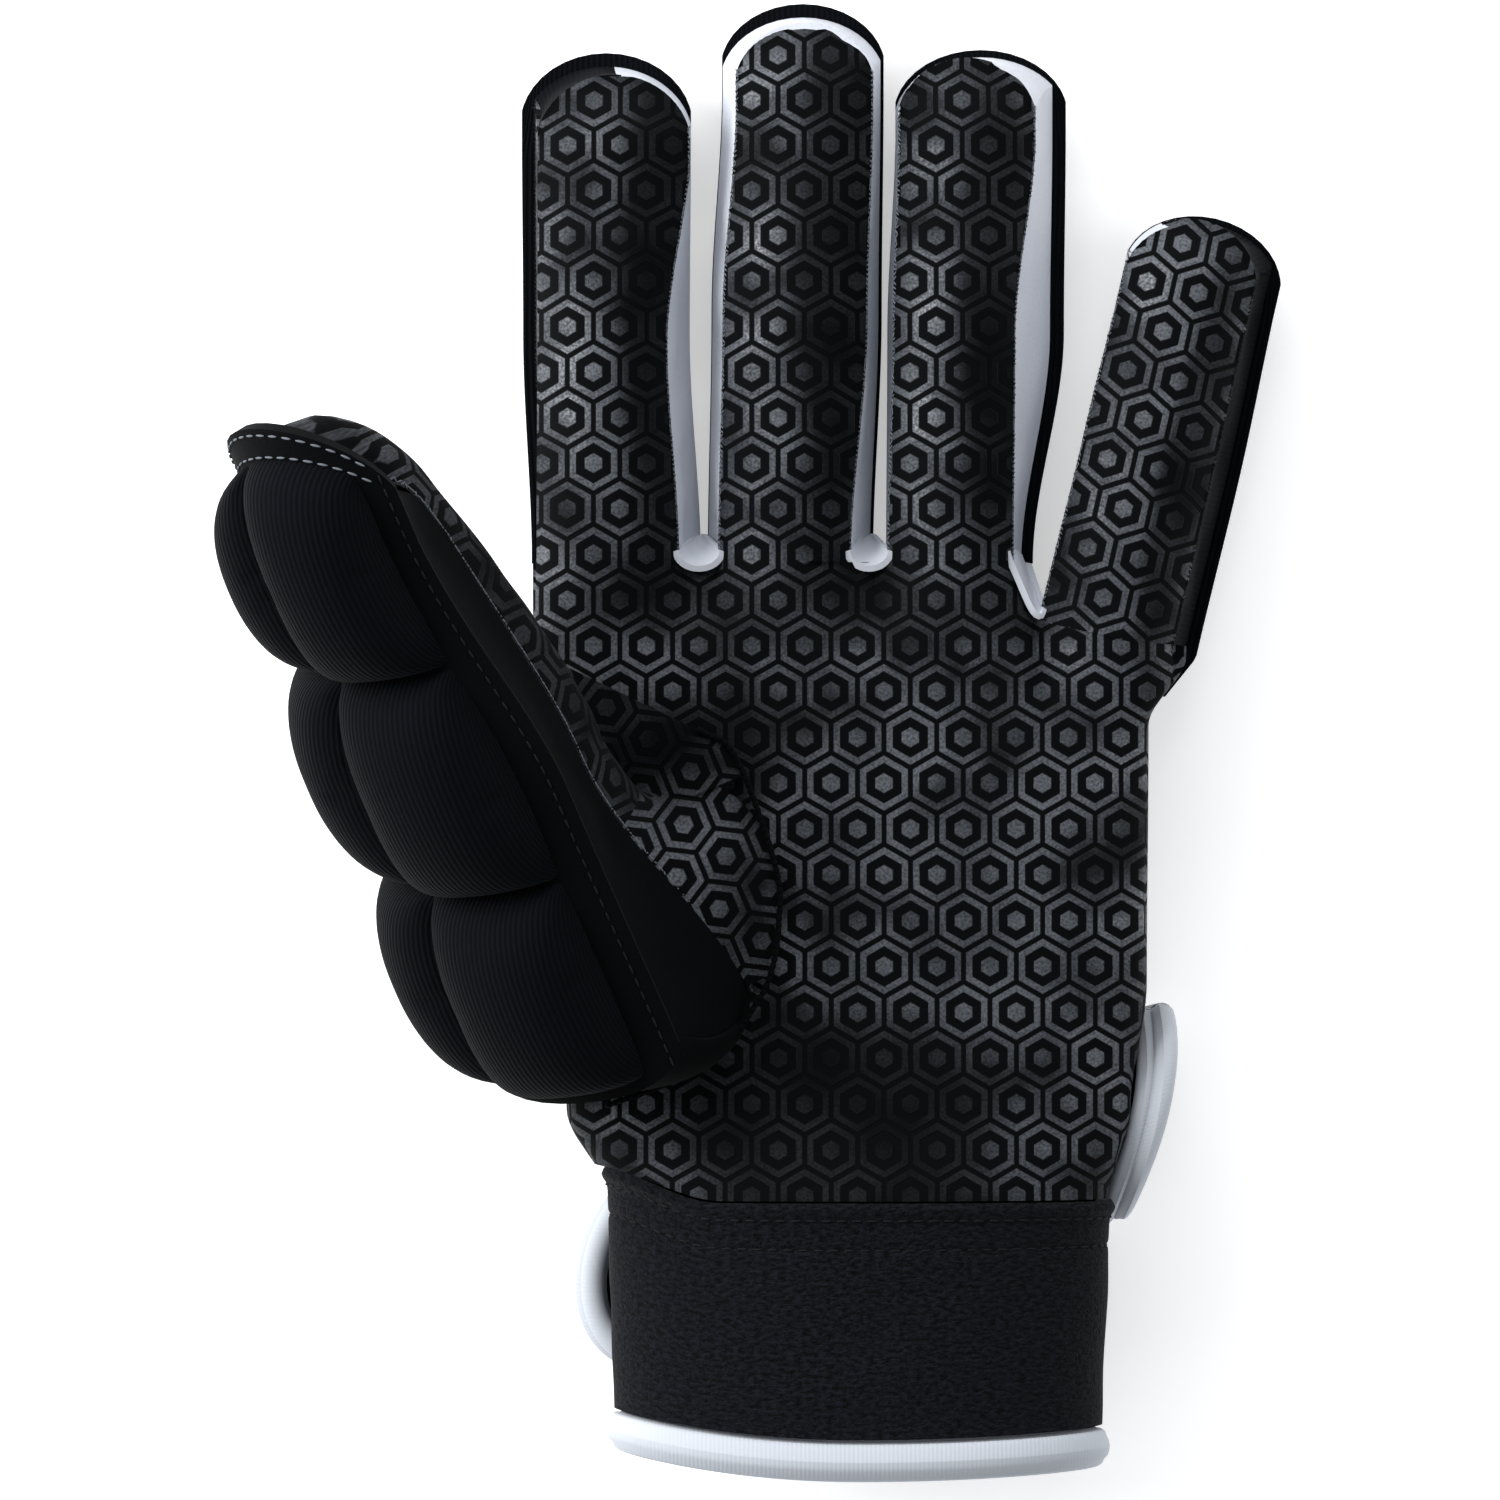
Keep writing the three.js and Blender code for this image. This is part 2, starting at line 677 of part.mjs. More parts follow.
const handCutters = [0, fingerBackHeight].map((sink) => handBody(2 * seamGap, wristSeamY, webY, sink));
const thumbMatrix = thumbFrame.matrix;
const intoThumb = thumbMatrix.clone().invert();
for (const cutter of handCutters) cutter.applyMatrix4(intoThumb);

// The domed panel that closes the thumb's lower end beside the wrist
function thumbBasePanel(wall) {
  return grid(6, 4, (s, t) => {
    const u = arcShare(s);
    const point = frontPoint(thumbDigit, u, 0, 1).lerp(backPoint(thumbDigit, u, 0, 0), t);
    point.y = -seamGap - wall - thumbBaseBulge * (1 - u * u) * (1 - (2 * t - 1) ** 2);
    return point;
  });
}

// The front of the thumb's root: a ramp from the palm seam up to the thumb's edge, which turns into the thumb's dome
const seamPoints = palmSeam.map(([x, y]) => new THREE.Vector3(thumbBase[0] + x, thumbBase[1] + y, 0));
const seamCurve = new THREE.CatmullRomCurve3(seamPoints);

function overPalm(point, out) {
  const section = handSection(clamp(point.y, wristSeamY, webY));
  const share = Math.min(Math.abs(point.x - section.centre) / section.half, 1);
  const top = section.middle + section.rise * (1 - share ** section.round) ** (1 / section.round) + out;
  return new THREE.Vector3(point.x, point.y, Math.max(point.z, top));
}

function thumbRamp() {
  const out = skinWall + 2 * seamGap;
  const reach = thumbJointShares[1] * thumb.length - 2 * seamGap;
  return grid(8, 10, (t, s) => {
    const u = lerp(-1, rampEdgeShare, t);
    const y = lerp(rampStart, reach, s);
    const dome = frontPoint(thumbDigit, u, y, 1).applyMatrix4(thumbMatrix);
    const edge = frontPoint(thumbDigit, -1, y, 1).applyMatrix4(thumbMatrix);
    const ramp = edge.lerp(overPalm(seamCurve.getPoint(s), out), t);
    const rise = THREE.MathUtils.smoothstep(s, thumbRiseShare, 1);
    return overPalm(ramp.lerp(dome, rise), out);
  });
}

// The inner side of the thumb's root, beside the palm
function thumbWeb() {
  const reach = thumbJointShares[1] * thumb.length - seamGap / 2;
  const domeColumns = 4;
  const sideColumns = 3;
  const columns = domeColumns + sideColumns;
  return sheet(grid(columns, 4, (s, r) => {
    const step = Math.round(s * columns);
    const y = lerp(seamGap, reach, r);
    if (step > domeColumns) {
      return sidePoint(thumbDigit, 1, seamGap, reach, r, (wrapReachShare * (step - domeColumns)) / sideColumns);
    }
    return frontPoint(thumbDigit, lerp(webEdgeShare, 1, step / domeColumns), y, 1);
  }), skinWall);
}

const ramp = thumbRamp();
const rampCutter = between(inset(ramp, -seamGap), inset(ramp, skinWall + seamGap)).applyMatrix4(intoThumb);
const rootCutters = [...handCutters, rampCutter];
add(glove, "thumb_front_1", sheet(ramp, skinWall), print);
add(thumbFrame, "thumb_web_1", cut(thumbWeb(), ...rootCutters), neoprene);
const baseGusset = cut(between(thumbBasePanel(gussetWall), thumbBasePanel(0)), ...rootCutters);
add(thumbFrame, "thumb_base_gusset", baseGusset, neoprene);

let thumbParent = thumbFrame;
let thumbPivot = new THREE.Vector3();
for (let k = 0; k < 3; k++) {
  if (k > 0) {
    const y = thumbJointShares[k] * thumb.length;
    const next = new THREE.Vector3(0, y, crownHeight(thumbDigit, y));
    thumbParent = hingeGroup(
      thumbParent, `thumb_${jointNames[k]}`, y - thumbPivot.y, next.z - thumbPivot.z,
    );
    thumbPivot = next;
  }
  for (const [name, geometry, finish] of segmentPieces(thumbDigit, k, thumbJointShares)) {
    if (name === "thumb_front_1") continue;
    const shaped = k === 0 ? cut(geometry, ...rootCutters) : geometry;
    shaped.translate(-thumbPivot.x, -thumbPivot.y, -thumbPivot.z);
    add(thumbParent, name, shaped, finish);
  }
}

// The thumb's bore, which opens the side of the hand shell
function thumbBore() {
  const rings = [];
  const stations = 4;
  const reachShare = 0.5;
  for (let j = 0; j <= stations; j++) {
    const y = lerp(-seamGap, thumb.length * reachShare, j / stations);
    const ring = [];
    const steps = 8;
    for (let i = 0; i <= steps; i++) {
      const u = arcShare(i / steps);
      const point = frontPoint(thumbDigit, u, y, 1);
      point.x -= u * skinWall;
      point.z -= skinWall;
      ring.push(point);
    }
    for (let i = steps; i >= 0; i--) {
      const u = arcShare(i / steps);
      const point = backPoint(thumbDigit, u, y, 0);
      point.x -= u * gussetWall;
      point.z += seamGap;
      ring.push(point);
    }
    rings.push(ring);
  }
  return loft(rings).applyMatrix4(thumbMatrix);
}

// The hand shell is cut back beside the little finger, which starts lower than the others
const notchLeft = 44.9;
const notchOverrun = 60;
const littleNotch = new THREE.BoxGeometry(notchOverrun, notchOverrun, notchOverrun);
littleNotch.translate(
  notchLeft + notchOverrun / 2,
  littleFinger.baseY - seamGap / 2 + notchOverrun / 2,
  notchOverrun / 2 - pressedFlat,
);
const bore = thumbBore();
add(glove, "palm_panel", cut(handFront(), bore, littleNotch), print);
add(glove, "hand_back_panel", cut(handBack(), littleNotch), black);
add(glove, "wrist_band", wristBand(), black);
add(glove, "wrist_binding", wristBinding(), white);

const strapFrame = new THREE.Group();
strapFrame.position.set(...strapCentre, 0);
strapFrame.rotation.z = radians(strapLean);
glove.add(strapFrame);
const tabRoot = strapRight + strapArc;
const tabEnd = tabRoot + tabLength;
const leftEnd = (w) => -strapLeft + endInset(w, strapWidth);
const fixed = (s) => () => s;
add(strapFrame, "wrist_strap", plate(leftEnd, fixed(tabRoot - seamGap / 2), strapWidth, 0, strapWall, 9), neoprene);
add(strapFrame, "strap_binding", tube(bindingPath(tabRoot - seamGap, -strapLeft, -1, 32), tabBindingRadius, 60), white);

const tabHinge = new THREE.Group();
tabHinge.name = "strap_tab";
tabHinge.position.copy(strapPoint(tabRoot, 0, 0, -strapWall / 2));
tabHinge.rotation.z = -Math.atan(rightSkew);
tabHinge.updateMatrix();
strapFrame.add(tabHinge);
const intoTab = tabHinge.matrix.clone().invert();
const tabEndOf = (w) => tabEnd - endInset(w, strapWidth);
const patchWidth = strapWidth - 2 * patchInset;
const tabPieces = [
  ["strap_tab", plate(fixed(tabRoot + seamGap / 2), tabEndOf, strapWidth, 0, strapWall, 3), neoprene],
  ["tab_binding", tube(bindingPath(tabRoot + 2 * seamGap, tabEnd, 1, 3), tabBindingRadius, 28), white],
];
const patchLift = (strapWall + patchWall) / 2 + seamGap;
const patchEnd = tabEnd - patchInset;
tabPieces.push([
  "hook_patch", plate(fixed(tabRoot + seamGap), fixed(patchEnd), patchWidth, patchLift, patchWall, 2), black,
]);
for (const [name, geometry, finish] of tabPieces) {
  add(tabHinge, name, geometry.applyMatrix4(intoTab), finish);
}

// The origin is the middle of the footprint, on the floor
const bounds = new THREE.Box3().setFromObject(glove, true);
const centre = bounds.getCenter(new THREE.Vector3());
glove.position.set(-centre.x, -centre.y, -bounds.min.z);

export default glove;
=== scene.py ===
"""An indoor hockey glove for the left hand, palm up: printed palm, white gussets, quilted back."""

import json
from math import acos, asin, copysign, cos, exp, pi, radians, sin, sqrt, tan, tau

import bmesh
import bpy
import numpy as np
from mathutils import Matrix, Vector, noise


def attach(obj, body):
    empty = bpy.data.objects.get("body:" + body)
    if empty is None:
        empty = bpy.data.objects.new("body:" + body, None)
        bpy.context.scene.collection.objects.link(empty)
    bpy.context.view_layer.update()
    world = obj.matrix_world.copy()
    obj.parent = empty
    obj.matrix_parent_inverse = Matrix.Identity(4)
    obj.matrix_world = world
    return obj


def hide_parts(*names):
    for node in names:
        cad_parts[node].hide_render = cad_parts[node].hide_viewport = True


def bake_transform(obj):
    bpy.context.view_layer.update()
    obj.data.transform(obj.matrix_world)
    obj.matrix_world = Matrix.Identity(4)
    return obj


scene = bpy.context.scene
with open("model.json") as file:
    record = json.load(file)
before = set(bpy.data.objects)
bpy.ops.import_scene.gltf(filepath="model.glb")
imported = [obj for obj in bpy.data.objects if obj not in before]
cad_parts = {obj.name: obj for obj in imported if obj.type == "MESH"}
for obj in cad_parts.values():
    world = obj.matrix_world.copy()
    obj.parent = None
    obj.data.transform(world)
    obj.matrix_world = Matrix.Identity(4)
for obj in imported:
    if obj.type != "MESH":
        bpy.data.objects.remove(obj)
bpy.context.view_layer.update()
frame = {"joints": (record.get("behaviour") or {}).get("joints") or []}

# The glove lies palm up on its back, with its fingers along +Y. Places in this file are in the glove's own
# millimetres, which the index finger's knuckle ties to the frame.
index_base = (-22.4, 28)
knuckle = next(j["pos_m"] for j in frame["joints"] if j["name"] == "index_knuckle")
origin = Vector((knuckle[0] * 1000 - index_base[0], knuckle[1] * 1000 - index_base[1], 0))


def row_point(point):
    """A point in the glove's millimetres, as metres in the row frame."""
    return (Vector(point) + origin) / 1000


# Camera: straight down on the palm with a long lens, as the photograph was taken. Its field is about as
# wide as the photograph's frame is at the glove's real size.


def put(name, data):
    """A new object in the scene."""
    made = bpy.data.objects.new(name, data)
    scene.collection.objects.link(made)
    return made


field_width = 238.5
camera_distance = 2000
view_height = 34
sensor = 36
camera_data = bpy.data.cameras.new("camera")
camera_data.sensor_width = sensor
camera_data.lens = sensor * camera_distance / field_width
camera_data.clip_end = 10
camera = put("camera", camera_data)
camera.location = row_point((-0.3, -2, camera_distance + view_height))
scene.camera = camera

# Studio: a white floor, a pale sky and three soft boxes. The brightest stands on the left, where it draws
# the ribs of the pads and the gloss of the print. The floor keeps the glove's shadow.


def linear(code):
    """A hex sRGB colour as linear RGBA."""
    values = [int(code[k : k + 2], 16) / 255 for k in (1, 3, 5)]
    return (*[v / 12.92 if v <= 0.04045 else ((v + 0.055) / 1.055) ** 2.4 for v in values], 1)


world = bpy.data.worlds.new("studio")
world.use_nodes = True
world.node_tree.nodes["Background"].inputs["Color"].default_value = linear("#f1f4fa")
world.node_tree.nodes["Background"].inputs["Strength"].default_value = 0.35
scene.world = world

floor_material = bpy.data.materials.new("floor")
floor_material.use_nodes = True
floor_shader = floor_material.node_tree.nodes["Principled BSDF"]
floor_shader.inputs["Base Color"].default_value = linear("#fbfbfb")
floor_shader.inputs["Roughness"].default_value = 0.9
floor_shader.inputs["Emission Color"].default_value = linear("#ffffff")
floor_shader.inputs["Emission Strength"].default_value = 0.45
floor_mesh = bpy.data.meshes.new("floor")
floor_half = 3
corners = [(-1, -1), (1, -1), (1, 1), (-1, 1)]
floor_mesh.from_pydata([(x * floor_half, y * floor_half, 0) for x, y in corners], [], [(0, 1, 2, 3)])
floor_mesh.materials.append(floor_material)
put("floor", floor_mesh)

# Place in metres, size and power of each soft box
boxes = {
    "left_box": ((-0.9, 0.3, 0.55), (0.7, 0.9), 20),
    "right_box": ((0.9, 0.1, 0.6), (0.5, 0.8), 3),
    "top_box": ((-0.1, 0.9, 0.75), (1.0, 0.4), 6),
}
for name, (place, size, power) in boxes.items():
    light = bpy.data.lights.new(name, "AREA")
    light.shape = "RECTANGLE"
    light.size, light.size_y = size
    light.energy = power
    lamp = put(name, light)
    lamp.location = place
    lamp.rotation_euler = (-Vector(place)).to_track_quat("-Z", "Y").to_euler()

scene.view_settings.view_transform = "Standard"

# Palm: one panel of thin printed suede, cut to the hand's outline and sewn to the back along both sides.
# Its top turns into the crowns of the fingers, and its lower edge climbs towards the thumb.


def node(tree, kind, inputs=None, output=0, **settings):
    """Adds a node, with values or links on its inputs, and gives one of its outputs."""
    made = tree.nodes.new(kind)
    for key, value in settings.items():
        setattr(made, key, value)
    for key, value in (inputs or {}).items():
        if isinstance(value, bpy.types.NodeSocket):
            tree.links.new(value, made.inputs[key])
        else:
            made.inputs[key].default_value = value
    return made.outputs[output] if made.outputs else None


def surface(name, colour, roughness, specular, sheen=0.0):
    """A fabric's material. Its patterns lie on the fabric's own UV map, in millimetres."""
    material = bpy.data.materials.new(name)
    material.use_nodes = True
    tree = material.node_tree
    shader = tree.nodes["Principled BSDF"]
    shader.inputs["Base Color"].default_value = linear(colour)
    shader.inputs["Roughness"].default_value = roughness
    shader.inputs["Specular IOR Level"].default_value = specular
    shader.inputs["Sheen Weight"].default_value = sheen
    shader.inputs["Sheen Roughness"].default_value = 0.4
    uv = node(tree, "ShaderNodeUVMap", uv_map="fabric")
    uv = node(tree, "ShaderNodeVectorMath", {0: uv, 1: (1000, 1000, 0)}, operation="MULTIPLY")
    return material, tree, shader, uv


def raise_by(tree, shader, height, millimetres):
    bump = node(tree, "ShaderNodeBump", {"Height": height, "Distance": millimetres / 1000})
    tree.links.new(bump, shader.inputs["Normal"])


def shade_by(tree, shader, factor, low, high):
    """Mixes the base colour from two colours by the factor."""
    shade = {"Factor": factor, 6: linear(low), 7: linear(high)}
    shade = node(tree, "ShaderNodeMix", shade, 2, data_type="RGBA")
    tree.links.new(shade, shader.inputs["Base Color"])


# Synthetic suede, sanded to a short nap and screen-printed with silicone grip: a dull black ground with
# slightly glossy hexagon rings in staggered rows, dimmed in random patches. The listed patches are painted
# shade: they darken the print where its gloss catches no light, on the right halves of the fingers, on the
# thumb and over parts of the palm. Each has its middle, its reach and the share of the print's brightness
# that it keeps in its middle.
nap_size = 0.4545
dim_patch_size = 16.667
cell_pitch = 8.4
painted_shade_patches = [
    ((14, -62), (32, 24), 0.12),
    ((-9, -4), (17, 13), 0.15),
    ((-80, 70), (26, 60), 0.35),
    ((-170, 48), (22, 15), 0.2),
    ((16, 20), (46, 8), 0.45),
    ((-14, 72), (9, 56), 0.12),
    ((14, 76), (9, 56), 0.2),
    ((39, 70), (8, 52), 0.2),
    ((63, 46), (5, 40), 0.3),
]
ring_stops = [(0.0, 1), (0.155, 1), (0.175, 0), (0.325, 0), (0.34, 1), (0.445, 1), (0.46, 0), (1.0, 0)]
suede, tree, shader, uv = surface("printed_suede", "#040506", 0.85, 0.08, 0.02)
half_cell = (0.5, 0.866, 0)
cells = node(tree, "ShaderNodeVectorMath", {0: uv, "Scale": 1 / cell_pitch}, operation="SCALE")
moved = node(tree, "ShaderNodeVectorMath", {0: cells, 1: half_cell}, operation="ADD")
near = []
for source in (cells, moved):
    wrapped = {0: source, 1: half_cell, 2: (-0.5, -0.866, 0)}
    wrapped = node(tree, "ShaderNodeVectorMath", wrapped, operation="WRAP")
    wrapped = node(tree, "ShaderNodeVectorMath", {0: wrapped}, operation="ABSOLUTE")
    straight = node(tree, "ShaderNodeSeparateXYZ", {0: wrapped})
    slanted = node(tree, "ShaderNodeVectorMath", {0: wrapped, 1: half_cell}, "Value", operation="DOT_PRODUCT")
    near.append(node(tree, "ShaderNodeMath", {0: straight, 1: slanted}, operation="MAXIMUM"))
cell = node(tree, "ShaderNodeMath", {0: near[0], 1: near[1]}, operation="MINIMUM")
ring = node(tree, "ShaderNodeValToRGB", {0: cell})
ramp = ring.node.color_ramp
while len(ramp.elements) < len(ring_stops):
    ramp.elements.new(0.5)
for element, (place, value) in zip(ramp.elements, ring_stops):
    element.position = place
for element, (place, value) in zip(ramp.elements, ring_stops):
    element.color = (value, value, value, 1)
fine = node(tree, "ShaderNodeTexNoise", {"Vector": uv, "Scale": 1 / nap_size, "Detail": 3.0})
patches = node(tree, "ShaderNodeTexNoise", {"Vector": uv, "Scale": 1 / dim_patch_size, "Detail": 2.0})
dimming_and_painted_shade = node(tree, "ShaderNodeMapRange", {0: patches, 1: 0.36, 2: 0.62, 3: 0.12, 4: 1.0})
# Painted shade: each listed patch darkens the print towards its middle
for middle, reach, kept_share in painted_shade_patches:
    offset = node(tree, "ShaderNodeVectorMath", {0: uv, 1: (*middle, 0)}, operation="SUBTRACT")
    offset = {0: offset, 1: (1 / reach[0], 1 / reach[1], 0)}
    offset = node(tree, "ShaderNodeVectorMath", offset, operation="MULTIPLY")
    away = node(tree, "ShaderNodeVectorMath", {0: offset}, "Value", operation="LENGTH")
    painted_shade = {0: away, 1: 0.55, 2: 1.15, 3: kept_share, 4: 1.0}
    painted_shade = node(tree, "ShaderNodeMapRange", painted_shade, interpolation_type="SMOOTHSTEP")
    dimming_and_painted_shade = node(tree, "ShaderNodeMath", {0: dimming_and_painted_shade, 1: painted_shade}, operation="MULTIPLY")
speckle = node(tree, "ShaderNodeMapRange", {0: fine, 1: 0.35, 2: 0.65, 3: 0.4, 4: 1.0})
speckled_dimming_and_painted_shade = node(tree, "ShaderNodeMath", {0: dimming_and_painted_shade, 1: speckle}, operation="MULTIPLY")
shown = node(tree, "ShaderNodeMath", {0: ring, 1: speckled_dimming_and_painted_shade}, operation="MULTIPLY")
shade_by(tree, shader, shown, "#040506", "#4b5057")
gloss = node(tree, "ShaderNodeMapRange", {0: shown, 3: 0.9, 4: 0.42})
tree.links.new(gloss, shader.inputs["Roughness"])
shine = node(tree, "ShaderNodeMapRange", {0: shown, 3: 0.06, 4: 0.75})
tree.links.new(shine, shader.inputs["Specular IOR Level"])
nap = node(tree, "ShaderNodeMath", {0: fine, 1: 0.35}, operation="MULTIPLY")
relief = node(tree, "ShaderNodeMath", {0: nap, 1: ring}, operation="ADD")
raise_by(tree, shader, relief, 0.16)

# A fabric is a sheet through a grid of points, with a thickness or a second grid under it
steep_slope = 2.2
cloth_wall = 1.1


def fabric(name, points, material, wall=0.0, under=None, centre=None, start=(0, 0), plan=None):
    """The sheet's UV map is in metres, measured along the fabric from its centre column. With a plan, it is
    the view from above in that frame, and only steep parts are measured along the fabric."""
    grid = np.array([[list(row_point(p)) for p in row] for row in points])
    rows, columns = grid.shape[:2]
    centre = columns // 2 if centre is None else centre
    across = np.zeros((rows, columns))
    across[:, 1:] = np.cumsum(np.linalg.norm(np.diff(grid, axis=1), axis=2), axis=1)
    across -= across[:, centre : centre + 1]
    lengthwise = np.zeros(rows)
    lengthwise[1:] = np.cumsum(np.linalg.norm(np.diff(grid[:, centre], axis=0), axis=1))
    lengthwise = np.repeat(lengthwise, columns).reshape(rows, columns)
    if plan:
        local = np.array([[list(plan.inverted() @ Vector(p)) for p in row] for row in points]) / 1000
        step = np.diff(local, axis=1)
        steep = np.abs(step[..., 2]) > steep_slope * np.linalg.norm(step[..., :2], axis=2)
        onward = np.sign(local[:, -1:, 0] - local[:, :1, 0])
        along_it = onward * np.linalg.norm(step, axis=2)
        across[:, 1:] = np.cumsum(np.where(steep, along_it, step[..., 0]), axis=1)
        across += local[:, centre : centre + 1, 0] - across[:, centre : centre + 1]
        lengthwise = local[..., 1]
    layers = [grid]
    if wall:
        normal = np.cross(np.gradient(grid, axis=1), np.gradient(grid, axis=0))
        normal /= np.maximum(np.linalg.norm(normal, axis=2, keepdims=True), 1e-9)
        layers.append(grid - normal * wall / 1000)
    if under:
        layers.append(np.array([[list(row_point(p)) for p in row] for row in under]))
    count = rows * columns
    faces = []
    for j in range(rows - 1):
        for i in range(columns - 1):
            quad = [j * columns + i, j * columns + i + 1, (j + 1) * columns + i + 1, (j + 1) * columns + i]
            faces.append(quad)
            if len(layers) == 2:
                faces.append([count + k for k in reversed(quad)])
    if len(layers) == 2:
        last = (rows - 1) * columns
        rim = [(i + 1, i) for i in range(columns - 1)]
        rim += [(last + i, last + i + 1) for i in range(columns - 1)]
        rim += [(j * columns, (j + 1) * columns) for j in range(rows - 1)]
        rim += [((j + 2) * columns - 1, (j + 1) * columns - 1) for j in range(rows - 1)]
        faces += [(a, b, b + count, a + count) for a, b in rim]
    mesh = bpy.data.meshes.new(name)
    mesh.from_pydata(np.concatenate([layer.reshape(-1, 3) for layer in layers]).tolist(), [], faces)
    body = bmesh.new()
    body.from_mesh(mesh)
    bmesh.ops.recalc_face_normals(body, faces=body.faces)
    body.to_mesh(mesh)
    body.free()
    uv = mesh.uv_layers.new(name="fabric")
    flat = np.stack([across.ravel() + start[0] / 1000, lengthwise.ravel() + start[1] / 1000], axis=1)
    corner_points = np.zeros(len(mesh.loops), int)
    mesh.loops.foreach_get("vertex_index", corner_points)
    uv.data.foreach_set("uv", flat[corner_points % count].ravel())
    mesh.materials.append(material)
    mesh.shade_smooth()
    mesh.set_sharp_from_angle(angle=radians(50))
    return put(name, mesh)


def grid_of(columns, rows, place):
    return [[place(i / columns, j / rows) for i in range(columns + 1)] for j in range(rows + 1)]


def mix(a, b, t):
    return a + (b - a) * t


def smooth(low, high, value):
    t = min(max((value - low) / (high - low), 0), 1)
    return t * t * (3 - 2 * t)


def mark(piece, nodes):
    """Hides the CAD nodes that a finished piece replaces."""
    if nodes:
        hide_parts(*nodes)


def settle(piece, body, slot, *nodes):
    """Sets a finished piece on its body."""
    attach(piece, body)
    mark(piece, nodes)


def turn_about(degrees, axis):
    return Matrix.Rotation(radians(degrees), 4, axis)


# The hand's shell is a flattened tube from the wrist seam to the finger webs. Each stage has its share of
# the way up, its share of the way from the wrist's size to the palm's, and its squareness.
wrist_y = -73.5
palm_length = 101.5
web_y = wrist_y + palm_length
palm_middle = 24.5
palm_centre = 14.2
palm_size = (98.4, 27)
wrist_centre = 17
wrist_size = (80, 36)
hand_stages = [(0, 0, 2.3), (0.14, 0.55, 2.5), (0.34, 0.95, 2.9), (0.72, 1, 3), (1, 1, 3)]
web_depth_share = 0.84
web_sink_share = 0.1
back_edge_share = 0.925


def hand_section(y):
    """Centre, half width, middle height, half depth and squareness of the hand shell at y."""
    share = min(max((y - wrist_y) / palm_length, 0), 1)
    k = 0
    while k < len(hand_stages) - 2 and share > hand_stages[k + 1][0]:
        k += 1
    low, high = hand_stages[k], hand_stages[k + 1]
    t = smooth(low[0], high[0], share)
    to_palm = mix(low[1], high[1], t)
    to_web = smooth(hand_stages[2][0], 1, share)
    depth = mix(wrist_size[1], palm_size[1], to_palm) * mix(1, web_depth_share, to_web)
    half = mix(wrist_size[0], palm_size[0], to_palm) / 2
    middle = palm_middle - to_web * palm_size[1] * web_sink_share
    return mix(wrist_centre, palm_centre, to_palm), half, middle, depth / 2, mix(low[2], high[2], t)


def on_section(section, angle, out=0.0):
    """x and z of a point of the section, moved outward by the given distance."""
    centre, half, middle, rise, power = section
    c, s = cos(angle), sin(angle)
    x = copysign(abs(c) ** (2 / power), c)
    z = copysign(abs(s) ** (2 / power), s)
    return centre + (half + out) * x, middle + (rise + out) * z


# The fingers' outlines, which the top of the palm meets. Lists hold the values at the base, the waist and
# the tip. The back reaches beyond the front, the feet are the shares of the back's half width on which the
# side walls stand, and wrap is the side round which the front is turned.
dome_power = 2.4
finger_seams = [25, 24, 21]
finger_crowns = [7.2, 7, 5.5]
finger_back = 11
digits = {
    "index": dict(
        base=(-22.4, 28), lean=0, length=78.1, reach=4, rim=2.2, wrap=-1, feet=(0.84, 1),
        front=[11.4, 10.4, 12.2], front_shift=[-0.6, -1.5, 0.3],
        back=[13.6, 13.4, 13.6], back_shift=[0.6, -1, -1],
    ),
    "middle": dict(
        base=(6.2, 28), lean=0, length=86.4, reach=3.6, rim=2.2, wrap=0, feet=(0.99, 0.96),
        front=[10.6, 11.6, 11], front_shift=[-1, 0.7, 2.2],
        back=[13.3, 13.7, 13], back_shift=[0, 1, 2],
    ),
    "ring": dict(
        base=(33.4, 28), lean=0, length=80.8, reach=1.8, rim=1.2, wrap=0, feet=(1, 0.84),
        front=[10.1, 9.8, 11], front_shift=[-1.7, -1.1, 1],
        back=[11.8, 14.2, 13.7], back_shift=[0, 2.6, 3.4],
    ),
    "little": dict(
        base=(57, 16), lean=-12.8, length=68.5, reach=1.2, rim=1, wrap=1, feet=(1, 0.84),
        front=[11, 10.8, 10.6], front_shift=[-0.6, -0.3, 0],
        back=[12.6, 12.8, 12.6], back_shift=[2.2, 2.4, 2.2],
    ),
}
for digit in digits.values():
    digit.update(seams=finger_seams, crowns=finger_crowns, back_height=finger_back, curl=0)
    digit["roundness"] = digit["front"][2]
    digit["matrix"] = Matrix.Translation((*digit["base"], 0)) @ turn_about(digit["lean"], "Z")

# The palm's outline and its folds. Each fold has its size across and along, its seed and its height.
little = digits["little"]
crown_reach = 16
notch = (41, 47)
wrist_lift = 5.6
root_flare = 6
flare_rows = (2, 13)
palm_folds = [((14, 11), 3.1, 0.8), ((30, 4.5), 8, 0.3)]


def crown_height(x):
    """The height of the finger crowns, or of the dips between them, across the web."""
    best = finger_seams[0] - 0.6
    for digit in digits.values():
        u = (x - digit["base"][0] - digit["front_shift"][0]) / digit["front"][0]
        if abs(u) < 1:
            best = max(best, finger_seams[0] + finger_crowns[0] * (1 - abs(u) ** dome_power))
    return best


def palm_end(x):
    """Where the palm stops: at the webs, and lower down along the base of the little finger."""
    low = little["base"][1] + (x - little["base"][0]) * tan(radians(little["lean"]))
    return mix(web_y, low, smooth(*notch, x))


def seam_y(x):
    """The wrist seam, which climbs on the thumb side."""
    return wrist_y + wrist_lift * smooth(0.55, 1.05, (wrist_centre - x) / (wrist_size[0] / 2))


def palm_wrinkle(x, y):
    folds = [(Vector((x / wide, y / long, seed)), high) for (wide, long), seed, high in palm_folds]
    return sum(noise.noise(place) * high for place, high in folds)


